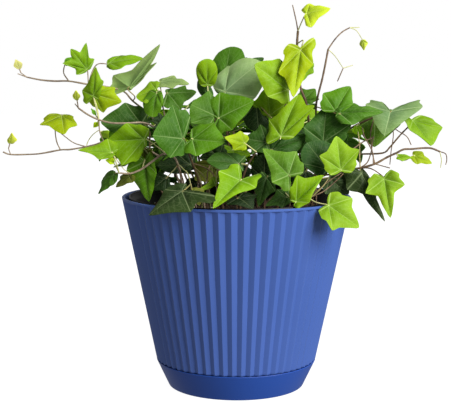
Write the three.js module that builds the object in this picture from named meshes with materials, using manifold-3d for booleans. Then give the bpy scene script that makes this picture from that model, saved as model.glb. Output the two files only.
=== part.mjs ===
// A potted ivy. Trailing leafy stems root in the soil of a black grower pot, which stands inside a pleated
// outer pot with its saucer. Millimetres, +Z up, front towards -Y. The origin is the middle of the saucer's
// underside.
import * as THREE from "three";
import { mergeVertices } from "three/addons/utils/BufferGeometryUtils.js";
import Module from "manifold-3d";

const wasm = await Module();
wasm.setup();

// Driving sizes of the pots.
const potHeight = 137.8;
const rimRadius = 82.5;
const saucerHeight = 19;
const saucerTopRadius = 58.1;
const saucerBaseRadius = 49.6;
const pleatCount = 60;
const pleatDepth = 0.023; // of the radius
const lipHeight = 1.6;
const wall = 2.2;
const rimWall = 1.4;
const gap = 0.4; // between pieces that stand in or on each other
const floorThickness = 3;
const drainHoleRadius = 4;
const drainHoleCount = 6;

// Driving sizes of the grower pot and the soil in it.
const growerRimHeight = 138.2;
const growerRimRadius = 77.5;
const growerLip = 4;
const growerNeckRadius = 75;
const growerBaseRadius = 42;
const growerWall = 1.3;
const soilHeight = 127;
const soilRelief = 1.1;
const rootDepth = 10;
const rootHoleRadius = 2.3;

// Driving sizes of the plant.
const bladeThickness = 0.9;
const bladeArch = 0.05; // rise of a blade's middle, of its length
const petioleRadius = 0.75;
const rootStraight = 5; // how far a stem rises upright out of the soil

// A blade's half outline in its own length: [across, along], from the notch at its base to its tip. The
// point named by lobe is the side lobe's tip.
const bladeKinds = {
  common: { lobe: 2, half: [[0.3, -0.14], [0.48, 0.04], [0.58, 0.38], [0.27, 0.48]] },
  wide: { lobe: 2, half: [[0.3, -0.14], [0.5, 0.08], [0.58, 0.38], [0.35, 0.57]] },
  plain: { lobe: 1, half: [[0.26, -0.12], [0.58, 0.36], [0.26, 0.5]] },
  star: { lobe: 3, half: [[0.12, -0.04], [0.44, 0.04], [0.32, 0.26], [0.58, 0.66], [0.2, 0.64]] },
  arrow: { lobe: 2, half: [[0.26, -0.12], [0.36, 0.04], [0.44, 0.26], [0.22, 0.46]] },
  broad: { lobe: 2, half: [[0.3, -0.06], [0.5, 0.26], [0.52, 0.55], [0.36, 0.84]] },
  trident: { lobe: 2, half: [[0.3, -0.14], [0.46, 0.06], [0.58, 0.34], [0.2, 0.42]] },
  bud: { lobe: 1, half: [[0.26, 0.1], [0.36, 0.45], [0.16, 0.76]] },
};
const earHeight = 0.1; // points of a half outline below this are the ear beside the petiole

// The stems seen from the front. A point is [across, up, depth]: across and up are read on the upright plane
// through the pot's axis, as seen from the eye, and depth moves the point away from the eye along its sight line.
const eye = new THREE.Vector3(-8.19, -839.7, 237.1);

// Each stem has its root in the soil at [x, y], its points counted from 1, point 0 being the root, and its runs:
// a radius, then the points that the run passes. A blade is [kind, the point its petiole leaves from, base, tip,
// side lobe, side lobe, what is special]: ears stretch its two base lobes, via bends its petiole.
const frontStems = [
  {
    name: "leafy_stem_left_upper",
    root: [-30, 4],
    points: [
      [-44, 168, 6], [-60.3, 193.7, 2], [-74.4, 205.7, 0], [-81, 212.6, -2], [-94, 216, -4], [-106, 217.5, -4],
      [-120, 219.8, -2], [-130, 219.8, 0], [-140, 220.6, 2], [-150, 222.6, 4], [-154, 225.6, 5], [-156.4, 225, 3],
    ],
    runs: [[1.1, 0, 1, 2, 3, 4, 5, 6, 7, 8, 9, 10], [0.6, 10, 11], [0.6, 10, 12]],
    blades: [
      ["bud", 11, [-155, 228.3, 5], [-157.8, 235, 6], [-153.2, 232.6, 7], [-159.2, 230.6, 4]],
      ["star", 6, [-106.5, 227.5, -6], [-118.4, 242.6, -14], [-107, 247, -10], [-124.5, 232.5, -14]],
      ["bud", 7, [-122.6, 231.5, -2], [-116, 237, 3], [-121.5, 236, 0], [-117, 232, 2],
        { via: [[-123.6, 225.6, -2]] }],
      ["arrow", 6, [-92, 232, 0], [-67, 236.3, 4], [-82, 238.5, 10], [-82.5, 228, -8],
        { via: [[-103, 227, 2], [-99, 232, 1]], ears: [0.5, 0.5] }],
      ["trident", 3, [-78, 214, -8], [-54.5, 246, -16], [-89, 224, -2], [-57, 233, -14],
        { via: [[-73, 209, -4]], ears: [1, 0.6] }],
    ],
  },
  {
    name: "leafy_stem_left_middle",
    root: [-36, -14],
    points: [
      [-46, 160, -10], [-56, 183, -14], [-66, 190, -22], [-79.7, 189.8, -30], [-89.7, 190, -30],
      [-98.8, 192.3, -28], [-106.4, 195.8, -26], [-113.4, 200.6, -24], [-114.2, 205.8, -24], [-115.8, 203.7, -22],
      [-98.3, 183.7, -28], [-95.5, 176.3, -28], [-101.3, 174.6, -27], [-108.2, 172.9, -26], [-119.8, 170.9, -24],
      [-126.7, 170.6, -22], [-140.5, 168, -20], [-150, 167.3, -18], [-162.6, 167.2, -16], [-168, 169, -15],
      [-164, 171.5, -15], [-106.5, 177.3, -24], [-103.4, 181.5, -26], [-98.8, 185, -28], [-84, 177, -22],
      [-66, 172, -16], [-117, 175.7, -22], [-124, 180.8, -18], [-129.5, 185.5, -15],
    ],
    runs: [
      [1.1, 0, 1, 2, 3, 4, 5, 6, 7, 8], [0.7, 8, 9], [0.6, 8, 10], [0.7, 6, 11, 12],
      [1, 1, 26, 25, 12, 13, 14, 15, 16, 17, 18, 19, 20], [0.6, 19, 21], [0.5, 14, 22, 23, 24],
      [0.6, 14, 27, 28, 29],
    ],
    blades: [
      ["common", 6, [-102.5, 208.5, -30], [-100.5, 230, -34], [-110.5, 213, -28], [-95, 219.5, -32],
        { via: [[-100.8, 201, -29]] }],
      ["common", 6, [-103, 211, -22], [-82.5, 205, -22], [-87, 215.5, -20], [-95.5, 197.5, -18],
        { via: [[-100, 201, -26]] }],
      ["bud", 6, [-101, 195.5, -26], [-104.3, 200.3, -26], [-101.8, 198.8, -24], [-103.8, 197.3, -27]],
      ["bud", 6, [-99.8, 190.3, -26], [-102.8, 186.8, -24], [-98.8, 188, -24], [-102.6, 190, -27]],
      ["bud", 9, [-114.3, 206.3, -24], [-114.7, 213.3, -24], [-117.3, 209.8, -22], [-112, 209.5, -26]],
      ["common", 16, [-125.5, 195.5, -14], [-123.8, 182, -32], [-141, 188, -22], [-114.3, 188.5, -22],
        { via: [[-129.4, 177, -19], [-130, 187, -14]] }],
      ["bud", 21, [-162.9, 175.2, -15], [-161.3, 182.8, -15], [-164.4, 178, -13], [-157.8, 177.8, -17]],
      ["wide", 2, [-67, 189, -6], [-97.5, 190.5, -12], [-80, 204.5, -4], [-84, 180, -8]],
      ["bud", 11, [-96.5, 184, -25], [-92, 179, -22], [-97, 180.5, -21], [-91.5, 184, -26]],
    ],
  },
  {
    name: "leafy_stem_left_lower",
    root: [-36, -34],
    points: [
      [-42, 160, -38], [-50.8, 168, -46], [-60, 163, -50], [-67.9, 157.2, -50], [-76.3, 153.7, -50],
      [-84.5, 154, -50], [-81, 156.5, -50], [-88, 166, -51],
    ],
    runs: [[1.2, 0, 1, 2, 3, 4, 5, 6], [0.5, 5, 7, 8]],
    blades: [
      ["common", 6, [-89, 168, -52], [-114, 170.3, -58], [-93, 178, -46], [-99, 164, -58], { ears: [0.9, 0.3] }],
      ["bud", 6, [-88.3, 161, -50], [-94.3, 163.2, -48], [-89.5, 164.8, -46], [-91.5, 160.6, -52]],
      ["wide", 2, [-65, 178.5, -48], [-93, 177, -44], [-79, 190, -50], [-82, 159.5, -52],
        { via: [[-57, 173, -46]], ears: [1, 0.45] }],
      ["common", 3, [-67, 172, -42], [-77, 158, -36], [-62, 160, -38], [-80, 166, -40]],
      ["wide", 4, [-66, 164, -46], [-63, 133.5, -44], [-79, 156, -44], [-57.5, 154, -50]],
      ["arrow", 5, [-77, 152.3, -47], [-86.8, 143.5, -42], [-83.5, 151.5, -40], [-75, 147, -48]],
      ["arrow", 6, [-87.5, 153.8, -46], [-99.4, 138.7, -40], [-96.5, 150.5, -36], [-88.8, 145, -46]],
      ["common", 1, [-50, 151, -44], [-61, 142, -44], [-61, 152.5, -40], [-51, 139.5, -48], { ears: [0.4, 0.4] }],
    ],
  },
  {
    name: "leafy_stem_left_crown",
    root: [-24, 8],
    points: [[-40, 170, 0], [-50, 190, -6], [-53, 202, -8], [-54, 212, -4]],
    runs: [[1.1, 0, 1, 2, 3], [0.8, 3, 4]],
    blades: [
      ["wide", 4, [-57, 214, -6], [-72, 208.5, -8], [-62, 219, 0], [-65, 203.5, -14]],
      ["broad", 3, [-57, 212, -12], [-60.5, 194, -18], [-67, 203, -12], [-53.5, 201, -18]],
      ["arrow", 4, [-55, 219, 0], [-34, 218.5, 6], [-45, 223, 8], [-47, 214.5, -4]],
      ["common", 3, [-50.5, 211, -8], [-29, 212, -4], [-37, 216, 2], [-40, 199.5, -12], { ears: [1.3, 1.3] }],
      ["common", 2, [-49.5, 188, -28], [-61, 192, -30], [-56, 197.5, -28], [-55, 185, -32],
        { via: [[-46, 189, -18]] }],
      ["common", 1, [-29, 147, -3], [-44, 139.5, -4], [-35, 150, -2], [-38, 136, -6]],
    ],
  },
  {
    name: "leafy_stem_centre_left",
    root: [-20, -30],
    points: [[-30, 156, -36], [-35, 170, -46]],
    runs: [[1.2, 0, 1, 2]],
    blades: [
      ["wide", 2, [-37.5, 178.5, -60], [-60.5, 181, -66], [-46, 203, -58], [-48, 165, -66], { ears: [1.2, 1] }],
      ["wide", 2, [-33, 178.5, -60], [-8.5, 176, -64], [-16.5, 190, -60], [-29, 166, -66]],
      ["broad", 1, [-32, 160, -28], [-57, 159, -30], [-45, 169, -24], [-45, 153.8, -34]],
    ],
  },
  {
    name: "leafy_stem_centre",
    root: [-10, -10],
    points: [[-14, 165, -18], [-15, 190, -34], [-20, 205, -24]],
    runs: [[1.2, 0, 1, 2], [0.9, 2, 3]],
    blades: [
      ["wide", 2, [-14, 193, -42], [12.5, 206, -46], [-12, 212, -36], [-3, 185, -48]],
      ["wide", 2, [-15, 195, -40], [-33, 203, -42], [-20, 213, -34], [-33, 190, -46]],
      ["broad", 3, [-21, 217, -22], [-21.5, 235.8, -28], [-29, 229, -25], [-14, 229, -25]],
      ["broad", 3, [-20, 208, -20], [-26, 222, -15], [-28, 215, -12], [-19, 217, -15]],
      ["common", 1, [-16, 160, -12], [-30, 149, -12], [-31, 161, -8], [-17, 145, -14]],
      ["common", 1, [-12, 165, -26], [-23, 175, -34], [-27, 165, -28], [-10, 176, -32]],
    ],
  },
  {
    name: "leafy_stem_top",
    root: [0, 12],
    points: [[-4, 165, 8], [-9, 195, 2], [-9.5, 211, -4]],
    runs: [[1.2, 0, 1, 2, 3]],
    blades: [
      ["broad", 3, [-9, 215, -2], [-5, 244.5, 2], [-17.5, 232, 6], [6.5, 235, -2]],
      ["broad", 3, [-9.5, 211.5, -12], [17, 234, -12], [-5, 232, -2], [14, 208, -20]],
      ["common", 3, [4, 224, 4], [19, 236.5, 8], [6, 237, 9], [18, 230, 2]],
      ["common", 1, [-2, 160, 4], [7, 146, 0], [-8, 151, 2], [13, 155, 4]],
    ],
  },
  {
    name: "leafy_stem_top_right",
    root: [20, -8],
    points: [[24, 165, -16], [30, 188, -26], [36, 206, -24]],
    runs: [[1.2, 0, 1, 2, 3]],
    blades: [
      ["wide", 3, [37, 213, -28.5], [12, 231.5, -36], [30.5, 236, -27.5], [22, 209, -36]],
      ["common", 2, [31, 179, -46], [44, 211, -36], [23.5, 192, -38], [56, 202, -44]],
      ["broad", 2, [14, 205, -10], [16, 183, -16], [4.5, 193, -8], [23, 190, -14]],
      ["wide", 1, [24, 170.5, -34], [50, 180, -24], [33, 182, -28], [41, 166.5, -34]],
      ["common", 1, [22.5, 176, -40], [5, 179, -36], [17, 189, -34], [11, 168, -44]],
      ["broad", 1, [20, 149, -22], [20, 168, -30], [10.5, 159, -26], [29.5, 159, -26]],
      ["wide", 2, [24, 195, -14], [22, 216, -16], [11.5, 204, -10], [35, 204, -20]],
    ],
  },
  {
    name: "leafy_stem_front",
    root: [2, -40],
    points: [[4, 148, -46], [8, 160, -50], [14, 169.5, -54]],
    runs: [[1.2, 0, 1, 2], [0.9, 2, 3]],
    blades: [
      ["common", 1, [3.5, 149.5, -66], [-16.8, 129, -86], [-13, 155.5, -70], [14, 144, -74]],
      ["broad", 2, [2.5, 160.5, -58], [-21.5, 163.5, -62], [-8, 169, -54], [-9, 155, -66], { ears: [1.6, 1] }],
      ["common", 3, [6, 175.5, -60], [-9, 179.8, -68], [2, 184.5, -60], [-2, 170.8, -64]],
      ["arrow", 2, [-14.8, 145.5, -60], [-28.5, 140, -66], [-17.5, 150.5, -56], [-19, 143, -64],
        { via: [[-6, 163, -49], [-13.5, 158, -53]] }],
    ],
  },
  {
    name: "leafy_stem_front_low",
    root: [14, -28],
    points: [[16, 147, -38]],
    runs: [[1, 0, 1]],
    blades: [
      ["common", 1, [1, 136.5, -58], [12, 128.3, -62], [-7, 131, -62], [15, 138, -56]],
      ["common", 1, [22, 152, -48], [16, 130, -56], [11, 144, -50], [28, 141, -54]],
    ],
  },
  {
    name: "leafy_stem_front_right",
    root: [28, -34],
    points: [[32, 143, -46], [38, 150, -58]],
    runs: [[1.1, 0, 1, 2]],
    blades: [
      ["common", 2, [38.5, 151.5, -70], [18.6, 171.8, -62], [43, 170, -64], [25.5, 147, -74]],
      ["common", 1, [37, 137, -52], [21, 130.5, -58], [29, 142, -50], [33, 129, -58]],
      ["common", 1, [42, 132.6, -66], [63, 152.5, -62], [43.5, 152.5, -72], [52, 132.8, -70],
        { via: [[38, 137, -56]], ears: [0.5, 0.3] }],
    ],
  },
  {
    name: "leafy_stem_tall",
    root: [44, 6],
    points: [
      [51, 160, 0], [52, 185, -6], [49.5, 204.3, -10], [45.5, 215.5, -12], [43.2, 232, -12], [42.7, 246.6, -12],
      [43.2, 255.5, -12], [41.8, 263, -12], [39.2, 273.8, -10],
    ],
    runs: [[1.5, 0, 1, 2, 3, 4, 5, 6, 7], [0.7, 7, 8, 9]],
    blades: [
      ["arrow", 7, [48.5, 267.5, -14], [65.9, 271.7, -18], [51.5, 274.5, -10], [52.8, 258, -22],
        { via: [[45.6, 261.5, -13]], ears: [1, 0.3] }],
      ["common", 6, [45.5, 243.5, -28], [40.5, 208.5, -40], [29.5, 226, -34.5], [54.3, 231.5, -34],
        { via: [[47, 249, -20]], ears: [1.3, 1.4] }],
      ["common", 5, [51, 232, -6], [45.5, 219.5, -10], [54, 226, -4], [47, 229, -12]],
      ["common", 3, [47, 206, 0], [56, 214.5, 2], [46, 215, 4], [59, 207, -2]],
      ["common", 1, [50, 156, -8], [40, 144, -12], [40, 157, -10], [53, 144, -10]],
    ],
  },
  {
    name: "leafy_stem_arching",
    root: [54, -6],
    points: [
      [58, 160, -12], [57, 185, -18], [56.7, 202, -22], [58.2, 211, -24], [60.7, 221, -24], [62.8, 231.5, -24],
      [64.8, 242.8, -22], [69.6, 249.8, -20], [74.7, 255, -18], [80, 258, -16], [86.9, 258.2, -14],
      [84.9, 255.8, -14], [88.8, 249.9, -12], [69.9, 237.8, -20], [75.7, 229.4, -18], [82.5, 231.5, -16],
      [71.7, 220, -18],
    ],
    runs: [
      [1.2, 0, 1, 2, 3, 4, 5, 6, 7], [0.8, 7, 8, 9, 10], [0.5, 10, 11], [0.5, 10, 12, 13], [0.5, 7, 14, 15],
      [0.5, 15, 16], [0.6, 15, 17],
    ],
    blades: [
      ["bud", 13, [89.2, 249.3, -12], [90.4, 242, -13], [87.4, 246, -10], [93, 247, -14]],
      ["wide", 3, [70, 198, -34], [80.8, 216.3, -28], [61.5, 211.5, -30], [83, 204, -34]],
      ["arrow", 3, [72, 197, -36], [105, 199, -38], [84, 204, -32], [83, 188.5, -42], { ears: [1, 0.5] }],
      ["wide", 2, [62, 175, -32], [64, 202, -26], [48, 187, -32], [82.5, 190, -34]],
      ["common", 1, [58, 168, -22], [68, 184, -28], [53, 181, -24], [72, 175, -28]],
    ],
  },
  {
    name: "leafy_stem_right_upper",
    root: [30, 8],
    points: [
      [44, 165, 6], [66, 178, 0], [88, 190, -8], [104, 197, -12], [109, 191, -22], [114.3, 185.7, -24],
      [122, 180.8, -24], [125.4, 174.6, -24], [112.4, 183.6, -32], [111, 170, -32], [110.3, 160.5, -32],
    ],
    runs: [[1.2, 0, 1, 2, 3, 4], [0.6, 4, 5, 6, 7, 8], [0.6, 5, 9, 10, 11]],
    blades: [
      ["wide", 4, [110, 199, -24], [106, 181, -40], [92, 203, -22], [133, 202, -22], { ears: [0.7, 0.6] }],
      ["bud", 3, [86, 188.5, -16], [88.5, 180.5, -18], [83, 184, -16], [92, 184.5, -18]],
      ["common", 1, [41, 158, 4], [31, 146, 0], [30, 159, 2], [44, 147, 4]],
      ["common", 2, [73, 172, -8], [80, 182, -12], [70, 183, -8], [80, 172, -14]],
    ],
  },
  {
    name: "leafy_stem_right_outer",
    root: [50, 14],
    points: [
      [66, 158, 8], [78, 166.5, 2], [88.5, 168, -4], [104.8, 168.8, -12], [110, 173, -14], [117.5, 182, -15],
      [123.8, 188.5, -14],
    ],
    runs: [[1, 0, 1, 2, 3, 4, 5, 6, 7]],
    blades: [
      ["wide", 7, [125, 193, -14], [139.5, 174, -18], [147, 187, -10], [124, 186, -22]],
    ],
  },
  {
    name: "leafy_stem_right_runner",
    root: [50, -16],
    points: [
      [66, 150, -24], [78, 156, -30], [89, 158, -34], [99.5, 161, -36], [108, 165.7, -36], [115, 169, -36],
      [120, 171.5, -36], [126, 171.8, -35], [134, 172.5, -34], [140, 172.3, -33], [146, 170, -32],
      [150.3, 168.3, -31], [147.4, 164, -32], [146.8, 158.2, -32], [151.2, 164, -30], [150.5, 160.5, -30],
      [110.5, 158, -37],
    ],
    runs: [[1.2, 0, 1, 2, 3, 4, 5, 6, 7, 8, 9, 10, 11], [0.6, 11, 12, 15, 16], [0.5, 11, 13, 14], [0.6, 4, 17]],
    blades: [
      ["arrow", 6, [116, 166.3, -36], [127, 165.5, -34], [119.5, 163, -38], [120.5, 168, -34]],
      ["arrow", 6, [127, 167, -32], [140.5, 161.3, -31], [133.5, 169.5, -28], [130, 160.8, -34],
        { via: [[120, 163.5, -30]] }],
      ["trident", 3, [106, 151.5, -40], [111.5, 121.6, -48], [93, 139.5, -46], [121.5, 146, -44],
        { via: [[97, 157.5, -37]], ears: [0.8, 0.8] }],
      ["trident", 3, [89, 156, -34], [107, 119, -36], [79.5, 142, -36], [103, 139, -30], { ears: [1, 0.7] }],
      ["wide", 4, [99, 196, -2], [99, 173, -14], [86, 186, -1], [118, 190, -4],
        { via: [[97.4, 170, -30], [96, 183, -12]] }],
    ],
  },
  {
    name: "leafy_stem_right_star",
    root: [46, -34],
    points: [[60, 150, -46], [68, 153.5, -53]],
    runs: [[1.1, 0, 1, 2]],
    blades: [
      ["common", 2, [75, 155.5, -58], [71.5, 181, -54], [59.6, 166.7, -60], [87.8, 171, -56]],
      ["broad", 1, [66, 156, -44], [50, 176, -42], [48, 161, -50], [70, 174, -38]],
      ["common", 1, [66, 151, -32], [81, 139, -28], [64, 139, -34], [82, 152, -30]],
    ],
  },
  {
    name: "leafy_stem_right_rim",
    root: [42, -44],
    points: [[50, 138, -54]],
    runs: [[1, 0, 1]],
    blades: [
      ["common", 1, [65.5, 131.3, -62], [88.7, 114.4, -66], [83.7, 136.2, -58], [69.3, 112.2, -72],
        { via: [[57, 133.2, -58]] }],
    ],
  },
  {
    name: "leafy_stem_left_rim",
    root: [-30, -46],
    points: [[-33, 146, -58]],
    runs: [[1.1, 0, 1]],
    blades: [
      ["wide", 1, [-38, 141.5, -72], [-63.3, 123.3, -80], [-33.5, 126.4, -88], [-51, 141, -66],
        { ears: [1.9, 0.9] }],
      ["common", 1, [-32, 140, -68], [-19, 134.5, -71], [-24, 142.5, -66], [-27, 130.5, -74]],
    ],
  },
];

// The stems behind them, out of the eye's sight for the most part, follow one rule. Each fills its own sector
// of the back, and its blades leave it in the places listed: [distance from the axis, height, to which side,
// outward, sideways and upward lean, size, point that the petiole leaves from].
const backStemCount = 5;
const backSectorStart = 30; // degrees from +X
const backSector = 31; // degrees
const backRoots = [26, 38]; // distance from the axis, by turns
const backStemPath = [[50, 152], [60, 172], [76, 188], [94, 184]];
const backPlaces = [
  [44, 142, 0, 0.85, 0.1, 0.1, 23, 1],
  [46, 149, 1, 0.8, 0.35, 0.2, 23, 1],
  [54, 158, 0, 0.9, 0.1, -0.05, 25, 1],
  [62, 172, 1, 0.8, 0.3, 0.25, 25, 2],
  [78, 190, -1, 0.7, 0.4, -0.2, 26, 3],
  [78, 186, 1, 0.7, 0.4, -0.45, 25, 3],
  [98, 184, 0, 0.6, 0.1, -0.75, 27, 4],
];
const backShake = 2; // how far a blade's base may stray from its place
const backStagger = 5; // how far neighbouring stems stand above and below the path
const seed = 2603;

const green = 0x5c8f2f;
const plantMaterial = () => new THREE.MeshStandardMaterial({ color: green, roughness: 0.5, metalness: 0 });

let draw = seed;
const chance = () => {
  draw = (draw * 16807) % 2147483647;
  return draw / 2147483647;
};
const stray = (reach) => (2 * chance() - 1) * reach;

// A closed geometry as a solid, its outside turned out.
function solid(geometry) {
  const bare = geometry.clone();
  bare.deleteAttribute("normal");
  bare.deleteAttribute("uv");
  const merged = mergeVertices(bare, 1e-4);
  const make = (index) =>
    new wasm.Manifold(
      new wasm.Mesh({
        numProp: 3,
        vertProperties: new Float32Array(merged.attributes.position.array),
        triVerts: new Uint32Array(index),
      }),
    );
  const first = make(merged.index.array);
  return first.volume() > 0 ? first : make([...merged.index.array].reverse());
}

// The largest closed body of a solid: scraps are dropped, and sealed hollows filled.
function wholeBody(made) {
  return made.decompose().reduce((a, b) => (a.volume() > b.volume() ? a : b));
}

function meshOf(name, made, material) {
  const { vertProperties, triVerts, numProp } = made.getMesh();
  const places = new Float32Array((vertProperties.length / numProp) * 3);
  for (let i = 0; i < places.length / 3; i++)
    for (let k = 0; k < 3; k++) places[3 * i + k] = vertProperties[numProp * i + k];
  const indexed = new THREE.BufferGeometry();
  indexed.setAttribute("position", new THREE.BufferAttribute(places, 3));
  indexed.setIndex(new THREE.BufferAttribute(new Uint32Array(triVerts), 1));
  const geometry = indexed.toNonIndexed();
  geometry.computeVertexNormals();
  const mesh = new THREE.Mesh(geometry, material);
  mesh.name = name;
  return mesh;
}

// A solid of revolution about +Z from [radius, height] pairs, with its first corner towards the front.
function turned(profile, sides) {
  const points = profile.map(([radius, height]) => new THREE.Vector2(radius, height));
  return solid(new THREE.LatheGeometry(points, sides).rotateX(Math.PI / 2));
}

function uprightCylinder(x, y, radius, bottom, top, sides) {
  const geometry = new THREE.CylinderGeometry(radius, radius, top - bottom, sides).rotateX(Math.PI / 2);
  return solid(geometry.translate(x, y, (top + bottom) / 2));
}

function drainHoles(ringRadius, bottom, top) {
  const holes = [];
  for (let i = 0; i < drainHoleCount; i++) {
    const angle = (2 * Math.PI * i) / drainHoleCount;
    const x = ringRadius * Math.cos(angle);
    const y = ringRadius * Math.sin(angle);
    holes.push(uprightCylinder(x, y, drainHoleRadius, bottom, top, 8));
  }
  return holes;
}

// The pot's body: a cone whose outline is pleated, every second point drawn in. It stands on the saucer's rim.
function pleatedBody() {
  const outline = [];
  for (let i = 0; i < 2 * pleatCount; i++) {
    const angle = (Math.PI * i) / pleatCount;
    const radius = saucerTopRadius * (i % 2 ? 1 : 1 - pleatDepth);
    outline.push(new THREE.Vector2(radius * Math.sin(angle), -radius * Math.cos(angle)));
  }
  const bottom = saucerHeight + gap;
  const height = potHeight - lipHeight - bottom;
  const geometry = new THREE.ExtrudeGeometry(new THREE.Shape(outline), { depth: height, bevelEnabled: false });
  const growth = rimRadius / saucerTopRadius - 1;
  const position = geometry.attributes.position;
  for (let i = 0; i < position.count; i++) {
    const scale = 1 + (growth * position.getZ(i)) / height;
    position.setXYZ(i, position.getX(i) * scale, position.getY(i) * scale, position.getZ(i) + bottom);
  }
  return solid(geometry);
}

// The outer pot: pleated body, plain lip and a plain foot that sinks into the saucer, hollowed from above.
function planter() {
  const footBottom = wall + gap;
  const footRadius = (height) => saucerInside(height) - gap;
  const footTop = saucerHeight + 1;
  const foot = turned(
    [[0, footBottom], [footRadius(footBottom), footBottom], [footRadius(footTop), footTop], [0, footTop]], 40,
  );
  const lipBottom = potHeight - lipHeight - 0.3;
  const lip = turned([[0, lipBottom], [rimRadius, lipBottom], [rimRadius, potHeight], [0, potHeight]], 60);
  const floorTop = footBottom + floorThickness;
  const cavity = turned(
    [[0, floorTop], [footRadius(floorTop) - wall, floorTop], [footRadius(saucerHeight) - wall, saucerHeight + gap],
      [56, 26], [rimRadius * (1 - pleatDepth) - rimWall, potHeight + 1], [0, potHeight + 1]], 36,
  );
  let made = pleatedBody().add(lip).add(foot).subtract(cavity);
  for (const hole of drainHoles(28, footBottom - 1, floorTop + 1)) made = made.subtract(hole);
  const material = new THREE.MeshStandardMaterial({ color: 0x2c4a9a, roughness: 0.45, metalness: 0 });
  return meshOf("planter", wholeBody(made), material);
}

function saucerInside(height) {
  return saucerBaseRadius - wall + ((saucerTopRadius - saucerBaseRadius) * height) / saucerHeight;
}

function saucer() {
  const edge = 0.8;
  const made = turned(
    [[0, 0], [saucerBaseRadius - edge, 0], [saucerBaseRadius, edge], [saucerTopRadius, saucerHeight],
      [saucerInside(saucerHeight), saucerHeight], [saucerInside(wall), wall], [0, wall]], 40,
  );
  const material = new THREE.MeshStandardMaterial({ color: 0x27448f, roughness: 0.4, metalness: 0 });
  return meshOf("saucer", made, material);
}

// The soft black nursery pot inside, with its turned-out rim.
const growerBottom = wall + gap + floorThickness + gap;
const growerShoulder = growerRimHeight - growerLip;
function growerInside(height) {
  const share = (height - growerBottom) / (growerShoulder - growerBottom);
  return growerBaseRadius + (growerNeckRadius - growerBaseRadius) * share - growerWall;
}

function growerPot() {
  let made = turned(
    [[0, growerBottom], [growerBaseRadius, growerBottom], [growerNeckRadius, growerShoulder],
      [growerRimRadius, growerShoulder + 0.6], [growerRimRadius, growerRimHeight],
      [growerRimRadius - growerWall, growerRimHeight], [growerRimRadius - growerWall, growerShoulder + 2],
      [growerInside(growerShoulder), growerShoulder], [growerInside(growerBottom + growerWall),
        growerBottom + growerWall], [0, growerBottom + growerWall]], 30,
  );
  for (const hole of drainHoles(30, growerBottom - 1, growerBottom + growerWall + 1)) made = made.subtract(hole);
  const material = new THREE.MeshStandardMaterial({ color: 0x1b1b1c, roughness: 0.35, metalness: 0 });
  return meshOf("grower_pot", made, material);
}

// Potting mix with a lumpy top and a plain hole round each stem.
function soil(roots) {
  const bottom = growerBottom + growerWall + gap;
  const edge = growerInside(soilHeight - 1.5) - 2 * gap;
  const rings = [0.93, 0.76, 0.56, 0.34, 0.14];
  const profile = [[0, bottom], [growerInside(bottom) - 2 * gap, bottom], [edge, soilHeight - 1.5]];
  for (const ring of rings) profile.push([edge * ring, soilHeight]);
  profile.push([0, soilHeight + 0.4]);
  const points = profile.map(([radius, height]) => new THREE.Vector2(radius, height));
  const geometry = new THREE.LatheGeometry(points, 20).rotateX(Math.PI / 2);
  const position = geometry.attributes.position;
  for (let i = 0; i < position.count; i++) {
    const x = position.getX(i);
    const y = position.getY(i);
    const z = position.getZ(i);
    const lump = Math.sin(0.21 * x + 1.3) * Math.cos(0.27 * y) + 0.5 * Math.sin(0.55 * x - 0.43 * y);
    if (z > soilHeight - 1) position.setZ(i, z + soilRelief * lump);
  }
  let made = solid(geometry);
  for (const [x, y] of roots) {
    const hole = uprightCylinder(x, y, rootHoleRadius, soilHeight - rootDepth - 1.5, soilHeight + 6, 5);
    made = made.subtract(hole);
  }
  const material = new THREE.MeshStandardMaterial({ color: 0x2b2019, roughness: 0.95, metalness: 0 });
  return meshOf("soil", wholeBody(made), material);
}

// The true place of a point read from the eye.
function seen([across, up, depth]) {
  const onPlane = new THREE.Vector3(across, 0, up);
  return onPlane.sub(eye).multiplyScalar((depth - eye.y) / -eye.y).add(eye);
}

// A path stepped evenly from point to point, and not along its length.
class StemPath extends THREE.CatmullRomCurve3 {
  getUtoTmapping(share) {
    return share;
  }
}

// A run of stem through the points given.
function tube(points, radius, sides) {
  const ring = [];
  for (let i = 0; i < sides; i++) {
    const angle = (2 * Math.PI * i) / sides;
    ring.push(new THREE.Vector2(radius * Math.cos(angle), radius * Math.sin(angle)));
  }
  const extrudePath = new StemPath(points, false, "centripetal");
  const shape = new THREE.Shape(ring);
  return solid(new THREE.ExtrudeGeometry(shape, { steps: points.length - 1, bevelEnabled: false, extrudePath }));
}

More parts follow.
